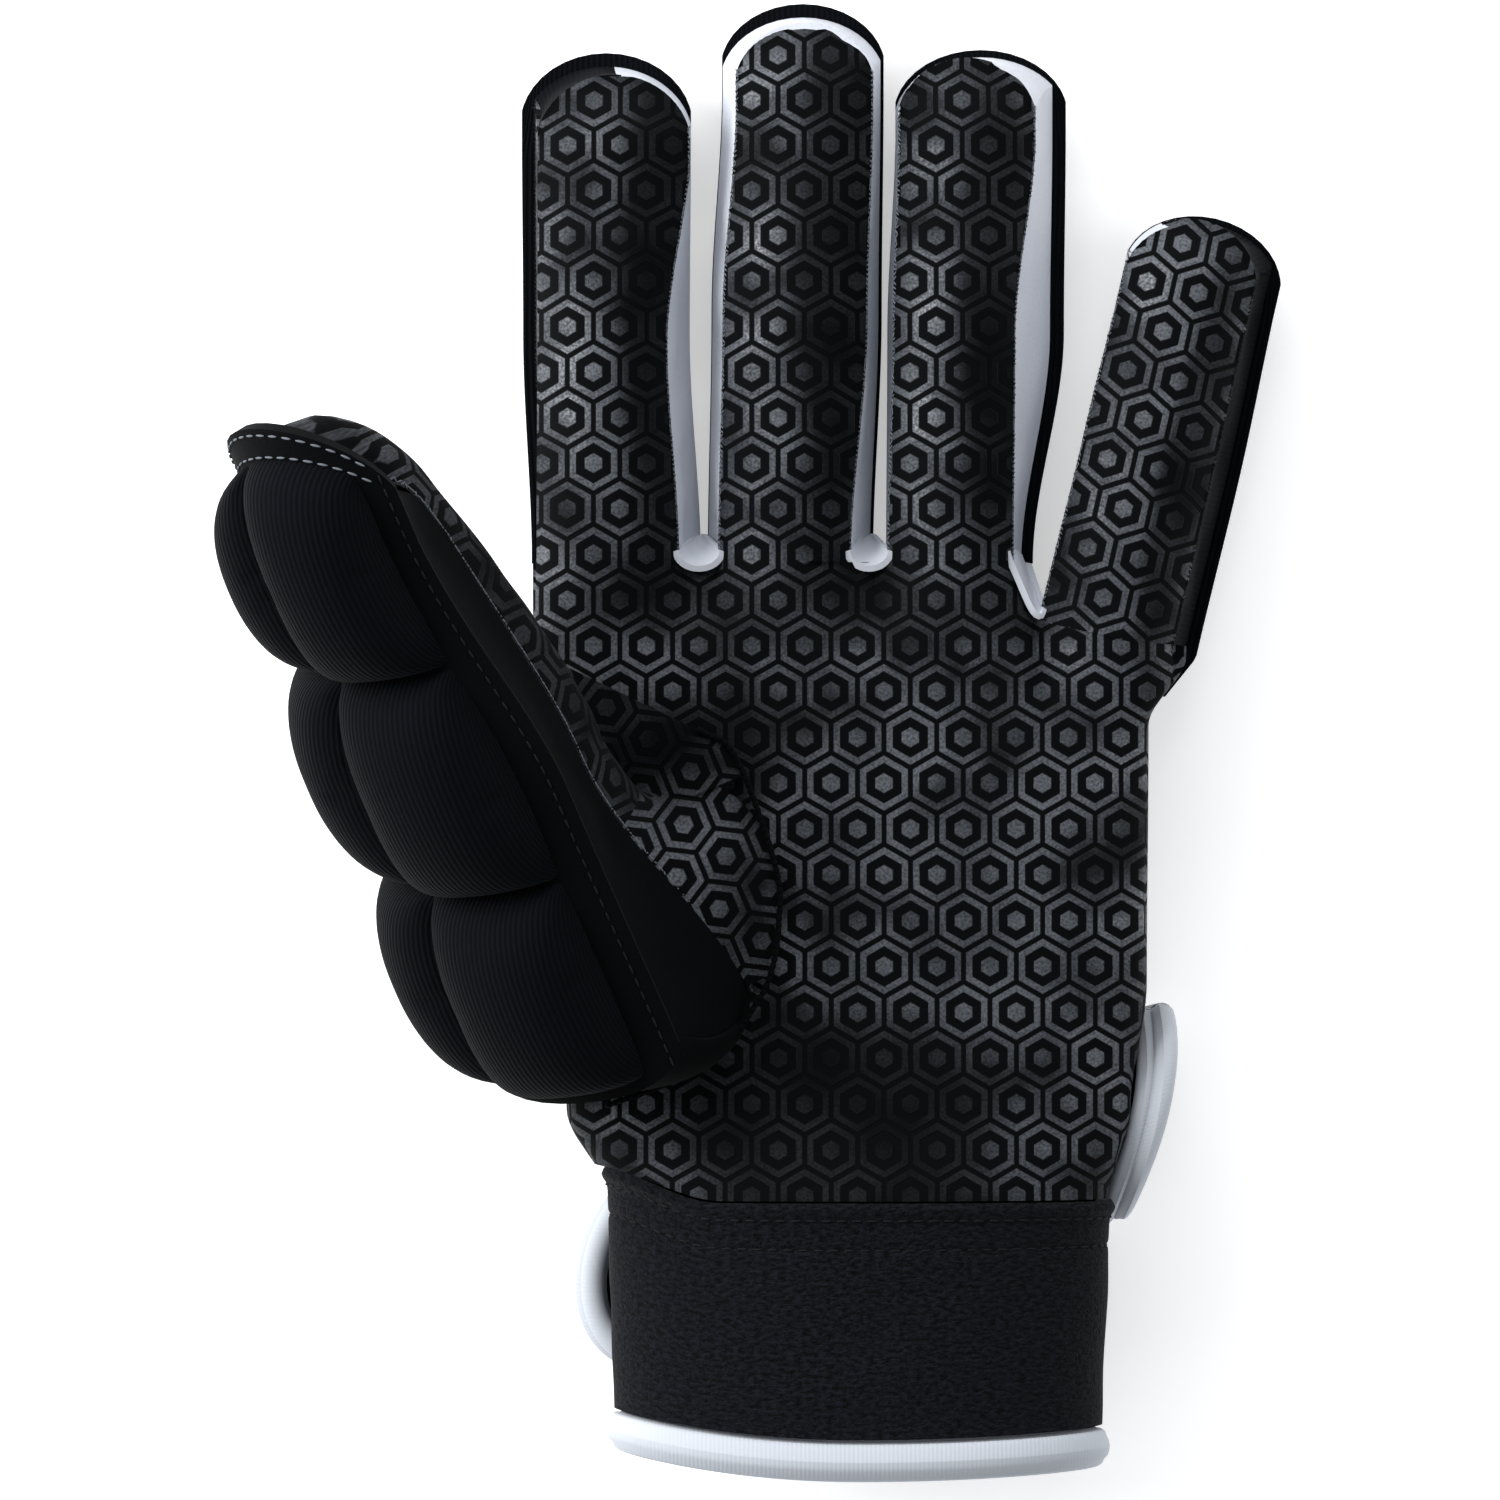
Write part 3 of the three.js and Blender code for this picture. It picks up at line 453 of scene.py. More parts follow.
def palm_point(s, t, out=0.0):
    rough = hand_section(mix(wrist_y, web_y, t))
    hook = acos(back_edge_share ** (rough[4] / 2))
    angle = mix(-hook, pi + hook, s)
    x, _ = on_section(rough, angle)
    y = mix(seam_y(x), palm_end(x), t)
    section = hand_section(y)
    x, z = on_section(section, angle, out)
    upward = max(sin(angle), 0)
    x += root_flare * smooth(*flare_rows, y) * smooth(0.8, 1, (x - section[0]) / section[1])
    if upward:
        z = mix(z, crown_height(x) + out, smooth(palm_end(x) - crown_reach, palm_end(x), y))
    wrinkle = palm_wrinkle(x, y)
    return Vector((x, y, z + wrinkle * sin(pi * t) * upward))


palm = fabric("palm_front", grid_of(110, 90, palm_point), suede, wall=-1.2, plan=Matrix.Identity(4))
settle(palm, "hand", "printed_suede", "palm_panel")

# Webs: the stretch fabric of the gussets runs on round the crotch between each two fingers. Its edge is
# rolled there, and the fabric sinks towards the back.
web_edge = 1.8
web_round = 2.4
web_scoop = 3
web_taper = 0.9
web_heights = (finger_seams[0] + 1.5, finger_back + 0.6)
webs = {"index_web": (-11.7, -5.2), "middle_web": (15.7, 21.7), "ring_web": (41.2, 46.4)}

# White stretch jersey, finely knitted and left matt: it looks smooth and soft, with hardly any grain
stretch_grain = 0.625
white_gusset, tree, shader, uv = surface("white_gusset", "#c8ccd4", 0.8, 0.15, 0.1)
grain = node(tree, "ShaderNodeTexNoise", {"Vector": uv, "Scale": 1 / stretch_grain, "Detail": 4.0})
raise_by(tree, shader, grain, 0.12)

for name, (left, right) in webs.items():

    def web_place(s, t):
        turn = pi * s
        narrow = 1 - web_taper * t
        x = mix(left, right, 0.5 - 0.5 * cos(turn) * narrow)
        y = palm_end(x) + web_edge - web_round * sin(turn) * narrow + web_scoop * t
        return Vector((x, y, mix(*web_heights, t)))

    web = fabric(name, grid_of(16, 12, web_place), white_gusset, wall=1.0)
    settle(web, "hand", "white_gusset")

# Fingers: a suede front, white gussets at the sides and round the tip, and a knit back, sewn edge to edge
# so that the suede's cut edges show their fibres. Every fabric is in three stretches, each of which crosses
# one joint.
joint_shares = [0, 0.36, 0.67, 1]
front_columns = 26
wrap_columns = 8
wrap_reach_share = 0.93
blend_reach = 6
little_root = -7
side_bulge = 3
edge_share = 0.985
skin_drops = (0.1, 2)

# Ribbed polyester knit, stretched over the foam: fine ribs along the digit draw thin lines of light. The
# wave texture goes through 20 radians in a unit.
wave_turn = 20
rib_pitch = 0.9
black_knit, tree, shader, uv = surface("black_knit", "#040507", 0.88, 0.05, 0.015)
wave = {"Vector": uv, "Scale": tau / rib_pitch / wave_turn, "Distortion": 0.6, "Detail": 1.0}
ribs = node(tree, "ShaderNodeTexWave", wave, 1, bands_direction="X")
raise_by(tree, shader, ribs, 0.09)
# The ribs also set the base colour: painted light on their tops and painted shade in the grooves between them
shade_by(tree, shader, ribs, "#030406", "#07090e")

# Spun polyester thread of the stitches and fibres of the cut edges: matt, grey or black
pale_thread = surface("pale_thread", "#62676e", 0.8, 0.2)[0]
dark_thread = surface("dark_thread", "#0b0c0f", 0.75, 0.2)[0]

# Rounded sides and tip of a digit. The shares are of its length. The arch and the rise are the thumb's
# alone, as its back is curled.
waist_share = 0.45
tip_share = 0.85
corner_share = 0.98
tip_fall_share = 0.84
tip_start_share = 0.62
tip_depth_share = 0.95
tip_rise = 7
tip_peak = -0.35
tip_breadth = 0.85
tip_sink = -0.5
tip_gap = 2
arch_start = 0.66
front_overlap = -0.5
base_corner = 6
base_corner_start = 0.6
base_corner_reach = 24
root_taper = 0.5


def arc(t):
    """Shares from -1 to 1, closer together at both ends."""
    return sin((t - 0.5) * pi)


def along(values, share):
    """A digit's value at a share of its length."""
    if share < waist_share:
        return mix(values[0], values[1], smooth(0, waist_share, share))
    return mix(values[1], values[2], smooth(waist_share, tip_share, share))


def row_y(digit, reach, y, u):
    """Straight rows, and rows that turn into the round tip over the last part of the digit."""
    depth = digit["roundness"] * tip_depth_share
    start = reach - depth * 1.6
    if y <= start:
        return y
    corner = reach - depth * (1 - sqrt(1 - (corner_share * u) ** 2))
    return mix(start, corner, (y - start) / (reach - start))


def tip_lift(u, share):
    """How far the thumb's round tip reaches beyond its straight end."""
    lift = max(1 - ((u - tip_peak) / tip_breadth) ** 2, tip_sink)
    return tip_rise * smooth(tip_start_share, 1, share) * lift


def front_point(digit, u, y):
    share = min(max(y / digit["length"], 0), 1)
    fall = smooth(tip_fall_share, 1.0, share) ** 1.5
    dome = along(digit["crowns"], share) * (1 - abs(u) ** dome_power)
    z = along(digit["seams"], share) + dome * (1 - fall)
    x = along(digit["front_shift"], share) + u * along(digit["front"], share)
    place_y = row_y(digit, digit["length"], y, u)
    if digit["curl"]:
        fall = 1 - sqrt(1 - max((share - arch_start) / (1 - arch_start), 0) ** 2)
        z = mix(along(digit["seams"], share) + dome, back_point(digit, u, y).z + tip_gap, fall)
        place_y += tip_lift(u, share) + front_overlap * smooth(tip_start_share, 1, share)
    return Vector((x, place_y, z))


def back_point(digit, u, y, drop=0.0):
    share = min(max(y / digit["length"], 0), 1)
    whole = digit["length"] + digit["reach"]
    place_y = row_y(digit, whole, y * whole / digit["length"], u)
    half = along(digit["back"], share) + min(y, 0) * root_taper
    middle = along(digit["back_shift"], share)
    if digit["curl"] == 0:
        return Vector((middle + u * half, place_y, digit["back_height"] - drop))
    place_y += tip_lift(u, share)
    corner = max((abs(u) - base_corner_start) / (1 - base_corner_start), 0)
    raised = base_corner * (1 - sqrt(1 - min(corner, 1) ** 2))
    place_y += raised * (1 - smooth(0, base_corner_reach, y))
    curl = radians(digit["curl"])
    radius = half / sin(curl)
    x = middle + (radius + drop) * sin(u * curl)
    return Vector((x, place_y, digit["back_height"] + radius - (radius + drop) * cos(u * curl)))


def side_point(digit, u, y, w):
    """The side wall from the front panel's edge, w = 0, to its foot inside the back's rim, w = 1."""
    foot = back_point(digit, u * mix(*digit["feet"], (u + 1) / 2), y)
    foot.y -= digit["rim"] * smooth(0.7, 1, y / digit["length"])
    return front_point(digit, u, y).lerp(foot, w)


# A row of stitches: small threads along a path, each turned a little at random
stitching = bpy.data.node_groups.new("stitches", "GeometryNodeTree")
stitching.interface.new_socket("Geometry", in_out="OUTPUT", socket_type="NodeSocketGeometry")
stitching.interface.new_socket("Geometry", in_out="INPUT", socket_type="NodeSocketGeometry")
stitch_inputs = {"Spacing": 0.002, "Length": 0.0015, "Width": 0.0004, "Turn": 0.1}
for name, value in stitch_inputs.items():
    socket = stitching.interface.new_socket(name, in_out="INPUT", socket_type="NodeSocketFloat")
    socket.default_value = value
stitching.interface.new_socket("Material", in_out="INPUT", socket_type="NodeSocketMaterial")
given = node(stitching, "NodeGroupInput").node.outputs
path = node(stitching, "GeometryNodeMeshToCurve", {0: given["Geometry"]})
path = {"Curve": path, "Length": given["Spacing"]}
path = node(stitching, "GeometryNodeResampleCurve", path, mode="LENGTH")
tangent = node(stitching, "GeometryNodeInputTangent")
turned = node(stitching, "FunctionNodeAlignRotationToVector", {"Vector": tangent}, axis="X")
back = node(stitching, "ShaderNodeMath", {0: given["Turn"], 1: -1.0}, operation="MULTIPLY")
swing = {"Min": back, "Max": given["Turn"], "Seed": 3}
swing = node(stitching, "FunctionNodeRandomValue", swing, data_type="FLOAT").node.outputs
swing = [output for output in swing if output.enabled][0]
swing = node(stitching, "ShaderNodeCombineXYZ", {"Z": swing, "Y": swing})
swing = node(stitching, "FunctionNodeEulerToRotation", {0: swing})
turned = node(stitching, "FunctionNodeRotateRotation", {0: turned, 1: swing}, rotation_space="LOCAL")
wide = given["Width"]
size = node(stitching, "ShaderNodeCombineXYZ", {"X": given["Length"], "Y": wide, "Z": wide})
bead = node(stitching, "GeometryNodeMeshUVSphere", {"Segments": 8, "Rings": 5, "Radius": 0.5})
threads = {"Points": path, "Instance": bead, "Rotation": turned, "Scale": size}
threads = node(stitching, "GeometryNodeInstanceOnPoints", threads)
threads = node(stitching, "GeometryNodeRealizeInstances", {0: threads})
threads = {"Geometry": threads, "Material": given["Material"]}
threads = node(stitching, "GeometryNodeSetMaterial", threads)
node(stitching, "NodeGroupOutput", {0: threads})
sockets = [item for item in stitching.interface.items_tree if item.in_out == "INPUT"]
stitch_sockets = {socket.name: socket.identifier for socket in sockets}


def applied(piece):
    """The piece's mesh with its modifiers applied."""
    return bpy.data.meshes.new_from_object(piece.evaluated_get(bpy.context.evaluated_depsgraph_get()))


def stitches(name, path, thread, **sizes):
    """Stitches along a path. Their turn is in radians and their other sizes are in millimetres."""
    host_mesh = bpy.data.meshes.new(name)
    host_mesh.from_pydata([row_point(p) for p in path], [(k, k + 1) for k in range(len(path) - 1)], [])
    host = put(name, host_mesh)
    modifier = host.modifiers.new("stitches", "NODES")
    modifier.node_group = stitching
    for key, value in sizes.items():
        modifier[stitch_sockets[key.capitalize()]] = value if key == "turn" else value / 1000
    modifier[stitch_sockets["Material"]] = thread
    made = applied(host)
    host.modifiers.clear()
    host.data = made
    host.data.shade_smooth()
    return host


raw_edge = dict(spacing=0.75, length=1.1, width=0.28, turn=0.9)
lock_stitch = dict(spacing=2.4, length=1.8, width=0.4, turn=0.06)


def stretches(digit):
    """The three stretches of a finger, which meet halfway between its joints."""
    base, first, second, tip = joint_shares
    cuts = [base, (base + first) / 2, (first + second) / 2, tip]
    return [(cuts[k] * digit["length"], cuts[k + 1] * digit["length"]) for k in range(3)]


def front_grid(digit, side, low, high, rows):
    """The front panel, which may also wrap down one side, as a grid of points."""
    left = wrap_columns if side < 0 else 0
    columns = front_columns + (wrap_columns if side else 0)

    def place(s, t):
        y = mix(low, high, t)
        step = round(s * columns) - left
        if step < 0:
            return digit["matrix"] @ side_point(digit, -1, y, wrap_reach_share * -step / wrap_columns)
        if step > front_columns:
            down = wrap_reach_share * (step - front_columns) / wrap_columns
            return digit["matrix"] @ side_point(digit, 1, y, down)
        u = arc(step / front_columns)
        point = front_point(digit, u, y)
        crease = noise.noise(Vector((point.x / 9, point.y / 7, digit["length"]))) * 0.5
        return digit["matrix"] @ (point + Vector((0, 0, crease * (1 - u * u))))

    return grid_of(columns, rows, place)


def bend(piece, digit, low, high):
    """Bakes a piece's placement into its mesh. The ends of its bend along the digit are worked out, but
    nothing blends it between bodies.
    """
    ends = [row_point(digit["matrix"] @ Vector((0, y, 0))) for y in (low, high)]
    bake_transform(piece)


def bend_finger(piece, name, k, slot, *nodes):
    joint = joint_shares[k] * digits[name]["length"]
    low, high = (0, 2 * blend_reach) if k == 0 else (joint - blend_reach, joint + blend_reach)
    bend(piece, digits[name], low, high)
    mark(piece, nodes)


def tip_stations(digit, first, last, low):
    """Places along the side and round the tip, from u = first to u = last."""
    steps = 8
    start, end = (0.5 + asin(u) / pi for u in (first, last))
    arcs = [(arc(mix(start, end, k / 20)), digit["length"]) for k in range(21)]
    sides = [mix(low, digit["length"], k / steps) for k in range(steps)]
    before = [(-1, y) for y in sides] if first == -1 else []
    after = [(1, y) for y in reversed(sides)] if last == 1 else []
    return before + arcs + after


def side_strip(name, digit, stations, material, hollow):
    """A wall between front and back panels along the stations, hollowed a little."""

    def place(s, t):
        u, y = stations[round(s * (len(stations) - 1))]
        point = side_point(digit, u, y, t)
        pull = Vector((-u, -1 if abs(u) < 1 else 0, 0)).normalized()
        crease = 0.6 + 0.5 * noise.noise(Vector((y / 8 + u * 3, t * 2, digit["length"])))
        if digit["curl"]:
            point.y -= side_bulge * sin(pi * t) * (1 - smooth(0, 26, y))
        return digit["matrix"] @ (point + pull * hollow * crease * sin(pi * t))

    return fabric(name, grid_of(len(stations) - 1, 10, place), material, wall=1.0)


def back_skin(name, digit, ends, count, material):
    """The fabric under the back pads, from one place along the digit to another."""
    layers = []
    for drop in skin_drops:

        def place(s, t):
            return digit["matrix"] @ back_point(digit, arc(s), mix(*ends, t), drop)

        layers.append(grid_of(*count, place))
    return fabric(name, layers[0], material, under=layers[1])


for name, digit in digits.items():
    matrix = digit["matrix"]
    for k, (low, high) in enumerate(stretches(digit)):
        rows = 30 if k == 2 else 18
        root = little_root if name == "little" and k == 0 else low
        side = -1 if name == "index" else 0
        front = fabric(
            f"{name}_palm_side_{k + 1}", front_grid(digit, side, low, high, rows), suede, wall=cloth_wall,
            centre=front_columns // 2 - side * wrap_columns, start=digit["base"], plan=matrix,
        )
        bend_finger(front, name, k, "printed_suede", f"{name}_front_{k + 1}")

        # The sides: white gussets between the fingers, black on the little finger's outer side
        if k == 2:
            strips = {"tip": (-1, 1, white_gusset)}
            if name == "index":
                strips = {"tip": (0.1, 1, white_gusset), "hood": (-1, 0.1, black_knit)}
            if name == "little":
                strips = {"tip": (-1, -0.2, white_gusset), "outer": (-0.2, 1, black_knit)}
            strips = {word: (tip_stations(digit, a, b, low), cloth) for word, (a, b, cloth) in strips.items()}
            nodes = [f"{name}_gusset_3"]
        else:
            lines = {"left": -1, "right": 1}
            strips = {
                word: ([(u, mix(root, high, 0.5 - u * (j / 16 - 0.5))) for j in range(17)], white_gusset)
                for word, u in lines.items()
            }
            nodes = [f"{name}_{word}_gusset_{k + 1}" for word, u in lines.items() if u != digit["wrap"]]
            if name == "index":
                del strips["left"]
            if name == "little":
                strips["right"] = (strips["right"][0], black_knit)
        for word, (stations, cloth) in strips.items():
            strip = side_strip(f"{name}_{word}_side_{k + 1}", digit, stations, cloth, 1.0)
            bend_finger(strip, name, k, "white_gusset" if cloth == white_gusset else "black_knit", *nodes)
            nodes = []

        skin = back_skin(f"{name}_back_skin_{k + 1}", digit, (root, high), (18, rows), black_knit)
        bend_finger(skin, name, k, "black_knit")

        # Fibres along the cut edges of the suede
        for word, u in {"left": -edge_share, "right": edge_share}.items():
            edge = [front_point(digit, u, mix(low, high, j / 20)) + Vector((0, 0, 0.1)) for j in range(21)]
            if (name, word) == ("index", "left"):
                edge = [side_point(digit, -1, mix(low, high, j / 20), wrap_reach_share) for j in range(21)]
            edge = [matrix @ point for point in edge]
            thread = dark_thread if (name, word) in (("index", "left"), ("little", "right")) else pale_thread
            fibres = stitches(f"{name}_{word}_edge_{k + 1}", edge, thread, **raw_edge)
            bend_finger(fibres, name, k, "black_knit")

# Thumb: a suede front, a neoprene side and a neoprene back that curls round them, sewn to the palm along a
# curved seam with a dark cord. Its root rides on the hand, and two stretches cross its joints.
thumb = dict(
    length=115, reach=2, front=[17, 13, 9.5], front_shift=[-1, -3, -1], back=[25.5, 25, 18.5],
    back_shift=[0, 0, 0], seams=[26, 15.5, 12.5], crowns=[13, 10, 8], back_height=-7, curl=58,
    rim=1, feet=(0.97, 0.95), roundness=15,
)
thumb_base = (-29, -53, 34)
thumb_lean = 22.8
thumb_tilt = 22
thumb_roll = 118
thumb_turn = turn_about(thumb_lean, "Z") @ turn_about(thumb_tilt, "X")
thumb["matrix"] = Matrix.Translation(thumb_base) @ thumb_turn @ turn_about(thumb_roll, "Y")
palm_seam = [(32, 15.5), (33.2, 23), (32.8, 32.3), (26.4, 49.9), (20.8, 54)]
ramp_start = 3
ramp_edge_share = 0.2
ramp_rise_share = 0.55
web_edge_share = 0.3
base_bulge = 6
ramp_lift = 1.4
flange_share = 0.93
thread_drop = 2.1
root_end = thumb["length"] / 3 - 0.7
into_row = thumb["matrix"]

# Neoprene, a foamed rubber with its smooth skin outward: matt black with a fine grain
rubber_grain = 0.6667
neoprene, tree, shader, uv = surface("neoprene", "#030405", 0.85, 0.06, 0.015)
grain = node(tree, "ShaderNodeTexNoise", {"Vector": uv, "Scale": 1 / rubber_grain, "Detail": 3.0})
raise_by(tree, shader, grain, 0.08)


def through(points, t):
    """A point of the smooth curve through the points."""
    place = t * (len(points) - 1)
    k = min(int(place), len(points) - 2)
    f = place - k
    b, c = Vector(points[k]), Vector(points[k + 1])
    a = Vector(points[k - 1]) if k > 0 else 2 * b - c
    d = Vector(points[k + 2]) if k < len(points) - 2 else 2 * c - b
    return (2 * b + (c - a) * f + (2 * a - 5 * b + 4 * c - d) * f**2 + (3 * b - a - 3 * c + d) * f**3) / 2


def over_palm(point, out):
    """The point, or the palm's top right under it where that is higher."""
    centre, half, middle, rise, power = hand_section(point.y)
    share = min(abs(point.x - centre) / half, 1)
    top = middle + rise * (1 - share**power) ** (1 / power) + out + max(palm_wrinkle(point.x, point.y), 0)
    return Vector((point.x, point.y, max(point.z, top)))


def seam_foot(point, out):
    """A point measured from the thumb's base, laid on the palm."""
    return over_palm(Vector((thumb_base[0] + point.x, thumb_base[1] + point.y, 0)), out)


def ramp_point(s, t):
    """The front of the thumb's root, which rises from the palm seam to the thumb's edge and its dome."""
    u = mix(-1, ramp_edge_share, s)
    y = mix(ramp_start, root_end, t)
    foot = seam_foot(through(palm_seam, t), ramp_lift)
    ramp = (into_row @ front_point(thumb, -1, y)).lerp(foot, s)
    rise = smooth(ramp_rise_share, 1, t)
    return over_palm(ramp.lerp(into_row @ front_point(thumb, u, y), rise), ramp_lift)


ramp_plan = Matrix.Translation(thumb_base) @ turn_about(thumb_lean, "Z")
ramp_print = (-200, 0)
thumb_print = (-80, 0)
root = grid_of(30, 36, ramp_point)
root = fabric("thumb_ramp", root, suede, wall=cloth_wall, centre=0, start=ramp_print, plan=ramp_plan)
settle(root, "hand", "printed_suede", "thumb_front_1")

# Skin between the thumb and the palm
crotch_reach = (30, 62)
crotch_sag = 2.5
crotch_lifts = (1.6, 2)


def crotch_point(s, t):
    """A point of the skin, whose free edge is at t = 1."""
    own = into_row @ front_point(thumb, 0.05, mix(*crotch_reach, t))
    foot = seam_foot(through(palm_seam, mix(0.7, 1, t)), crotch_lifts[0])
    sag = Vector((0, 0, -crotch_sag * sin(pi * s) * t))
    return over_palm(own.lerp(foot, s) + sag, crotch_lifts[1])


crotch = grid_of(24, 20, crotch_point)
crotch = fabric("thumb_crotch", crotch, suede, wall=cloth_wall, start=ramp_print, plan=ramp_plan)
bend(crotch, thumb, root_end, crotch_reach[1])

# Dark cord along the seam that joins the thumb to the palm
cord_lift = 2.3
cord_turns = [(6.4, -5.3), (16.8, -1.3), (24.8, 4.3), (29.6, 10.7)] + palm_seam
cord_line = [seam_foot(through(cord_turns, j / 90), cord_lift) for j in range(91)]
cord = stitches("palm_seam_cord", cord_line, neoprene, spacing=1.1, length=1.7, width=1.1, turn=0.05)
settle(cord, "hand", "black_knit")


def thumb_web_point(s, t):
    """The neoprene of the root's inner side, from the front's dome down to the back's rim."""
    y = mix(0.4, root_end, t)
    if s > 0.5:
        return into_row @ side_point(thumb, 1, y, wrap_reach_share * (2 * s - 1))
    return into_row @ front_point(thumb, mix(web_edge_share, 1, 2 * s), y)


web_piece = fabric("thumb_web", grid_of(20, 20, thumb_web_point), neoprene, wall=cloth_wall)
settle(web_piece, "hand", "neoprene", "thumb_web_1")


def thumb_base_point(s, t):
    """The neoprene that closes the thumb's lower end. Its edge is tucked under the back."""
    u = arc(s)
    point = front_point(thumb, u, 0).lerp(back_point(thumb, u, 0, 1), t)
    point.y += 1.4 * t - 0.4 - (base_bulge * (1 - u * u) + side_bulge) * sin(pi * t)
    return into_row @ point


base_piece = fabric("thumb_base", grid_of(20, 14, thumb_base_point), neoprene, wall=-cloth_wall)
settle(base_piece, "hand", "neoprene", "thumb_base_gusset")

thumb_stretches = [("hand", "thumb_2", 1 / 3, 0, 0.5), ("thumb_2", "thumb_3", 2 / 3, 0.5, 1)]
for k, (first, second, joint, start, end) in enumerate(thumb_stretches):
    low, high = start * thumb["length"], end * thumb["length"]
    centre = joint * thumb["length"]
    bend_low = centre - 0.7 if k == 0 else centre - blend_reach

    def bend_thumb(piece, slot, *nodes):
        bend(piece, thumb, bend_low, centre + blend_reach)
        mark(piece, nodes)

    front = front_grid(thumb, 1, max(low, root_end), high, 34)
    front = fabric(
        f"thumb_palm_side_{k + 2}", front, suede, wall=cloth_wall, centre=front_columns // 2,
        start=thumb_print, plan=into_row,
    )
    bend_thumb(front, "printed_suede", f"thumb_front_{k + 2}")

    stations = tip_stations(thumb, -1, 0.9, low) if k else [(-1, mix(low, high, j / 24)) for j in range(25)]
    strip = side_strip(f"thumb_side_{k + 1}", thumb, stations, neoprene, 1.6)
    nodes = ["thumb_gusset_3"] if k else ["thumb_left_gusset_1", "thumb_left_gusset_2"]
    bend_thumb(strip, "neoprene", *nodes)

    skin = back_skin(f"thumb_back_skin_{k + 1}", thumb, (low, high), (24, 40), neoprene)
    bend_thumb(skin, "neoprene")

    # Fibres along the suede's cut edge, and the seam along the flange
    edge = [front_point(thumb, -edge_share, mix(low, high, j / 40)) + Vector((0, 0, 0.1)) for j in range(41)]
    edge = [into_row @ point for point in edge]
    bend_thumb(stitches(f"thumb_edge_{k + 1}", edge, pale_thread, **raw_edge), "black_knit")
    stations = [mix(low + 1, high * 0.98, j / 40) for j in range(41)]
    line = [into_row @ back_point(thumb, -flange_share, y, thread_drop) for y in stations]
    bend_thumb(stitches(f"thumb_flange_seam_{k + 1}", line, dark_thread, **lock_stitch), "black_knit")

# Two rows of stitches round the thumb's tip
for number, share in enumerate((0.958, 0.99)):
    y = share * thumb["length"]
    line = [into_row @ back_point(thumb, mix(-0.85, 0.7, j / 30), y, thread_drop) for j in range(31)]
    row = stitches(f"thumb_tip_stitches_{number + 1}", line, pale_thread, **lock_stitch)
    settle(row, "thumb_3", "black_knit")

# Foam pads: blocks of soft foam under the knit of the fingers, the thumb and the hand's back. The knit is
# sewn down round each block, so every pad is a closed cushion, which air pressure in its cloth rounds.
pad_edge_share = 0.97
pad_power = 2.6
swell_scale = 50
swell_cap = 1.3
finger_foam = 9.2
thumb_foam = {"near": 9.5, "far": 8.2}
knit_drops = (0.8, 1.6)
pad_gap = 0.8
tip_pad_gap = 2.5
pad_side_share = 0.92
pads = []


def bump(t):
    return sqrt(max(1 - (abs(t) / pad_edge_share) ** pad_power, 0))


def pad(name, body, place, foam, node_name, size=18):
    """place(s, t, drop) gives the point at shares s and t of the pad's outline, dropped into the foam."""

    def raised(s, t):
        return place(s, t, knit_drops[1] + foam(s, t) * bump(2 * s - 1) * bump(2 * t - 1))

    top = grid_of(size, size, raised)
    base = grid_of(size, size, lambda s, t: place(s, t, knit_drops[0]))
    piece = fabric(name, top, black_knit, under=base)
    side = size + 1
    sewn = [k for k in range(side**2) if k % side in (0, size) or k // side in (0, size)]
    piece.vertex_groups.new(name="sewn").add(sewn + list(range(side**2, 2 * side**2)), 1, "REPLACE")
    pads.append((piece, body, node_name))


for name, digit in digits.items():
    for k in range(3):
        low = joint_shares[k] * digit["length"] + pad_gap
        high = joint_shares[k + 1] * digit["length"] - (tip_pad_gap if k == 2 else pad_gap)

        def finger_pad_place(s, t, drop):
            u = mix(-pad_side_share, pad_side_share, s)
            point = digit["matrix"] @ back_point(digit, u, mix(low, high, t), drop)
            point.z = max(point.z, 0)
            return point

        body, back = f"{name}_{k + 1}", f"{name}_back_{k + 1}"
        pad(f"{name}_pad_{k + 1}", body, finger_pad_place, lambda s, t: finger_foam, back)

thumb_columns = {"near": (-0.8, 0.05), "far": (0.05, 0.9)}
thumb_rows = [(0.015, 0.333), (0.333, 0.667), (0.667, 0.955)]
for k, (low, high) in enumerate(thumb_rows):
    for word, (left, right) in thumb_columns.items():

        def thumb_pad_place(s, t, drop):
            y = mix(low, high, t) * thumb["length"]
            return into_row @ back_point(thumb, mix(left, right, s), y, drop)

        body = "hand" if k == 0 else f"thumb_{k + 1}"
        foam = thumb_foam[word]
        pad(f"thumb_{word}_pad_{k + 1}", body, thumb_pad_place, lambda s, t: foam, f"thumb_back_{k + 1}", 24)

# The hand's back: three rows of four pads, quilted on a curved skin of the same knit. The skin is sewn to
# the palm at both sides, and the pads end along the slanted strap.
strap_lean = 17.7
strap_width = 22
strap_centre = (14, -75.5)
binding_radius = 2.1
strap_clearance = 3.5
pad_columns = 4
pad_rows = 3


def back_base(u, y):
    """The hand's back surface at share u of its width."""
    centre, half, middle, rise, power = hand_section(y)
    share = u * back_edge_share
    return Vector((centre + share * half, y, middle - rise * (1 - abs(share) ** power) ** (1 / power)))


def pad_foot(u):
    x = palm_centre + u * back_edge_share * palm_size[0] / 2
    slope = tan(radians(strap_lean))
    across = strap_width / 2 / cos(radians(strap_lean))
    return strap_centre[1] + (x - strap_centre[0]) * slope + across + binding_radius * 2 + strap_clearance


def hand_back_place(u, v, drop):
    """A point at shares u and v of the quilted field, dropped towards the floor."""
    point = back_base(u, mix(pad_foot(u), min(palm_end(back_base(u, web_y).x), web_y), (v + 1) / 2))
    point.z = max(point.z - drop, 0)
    return point


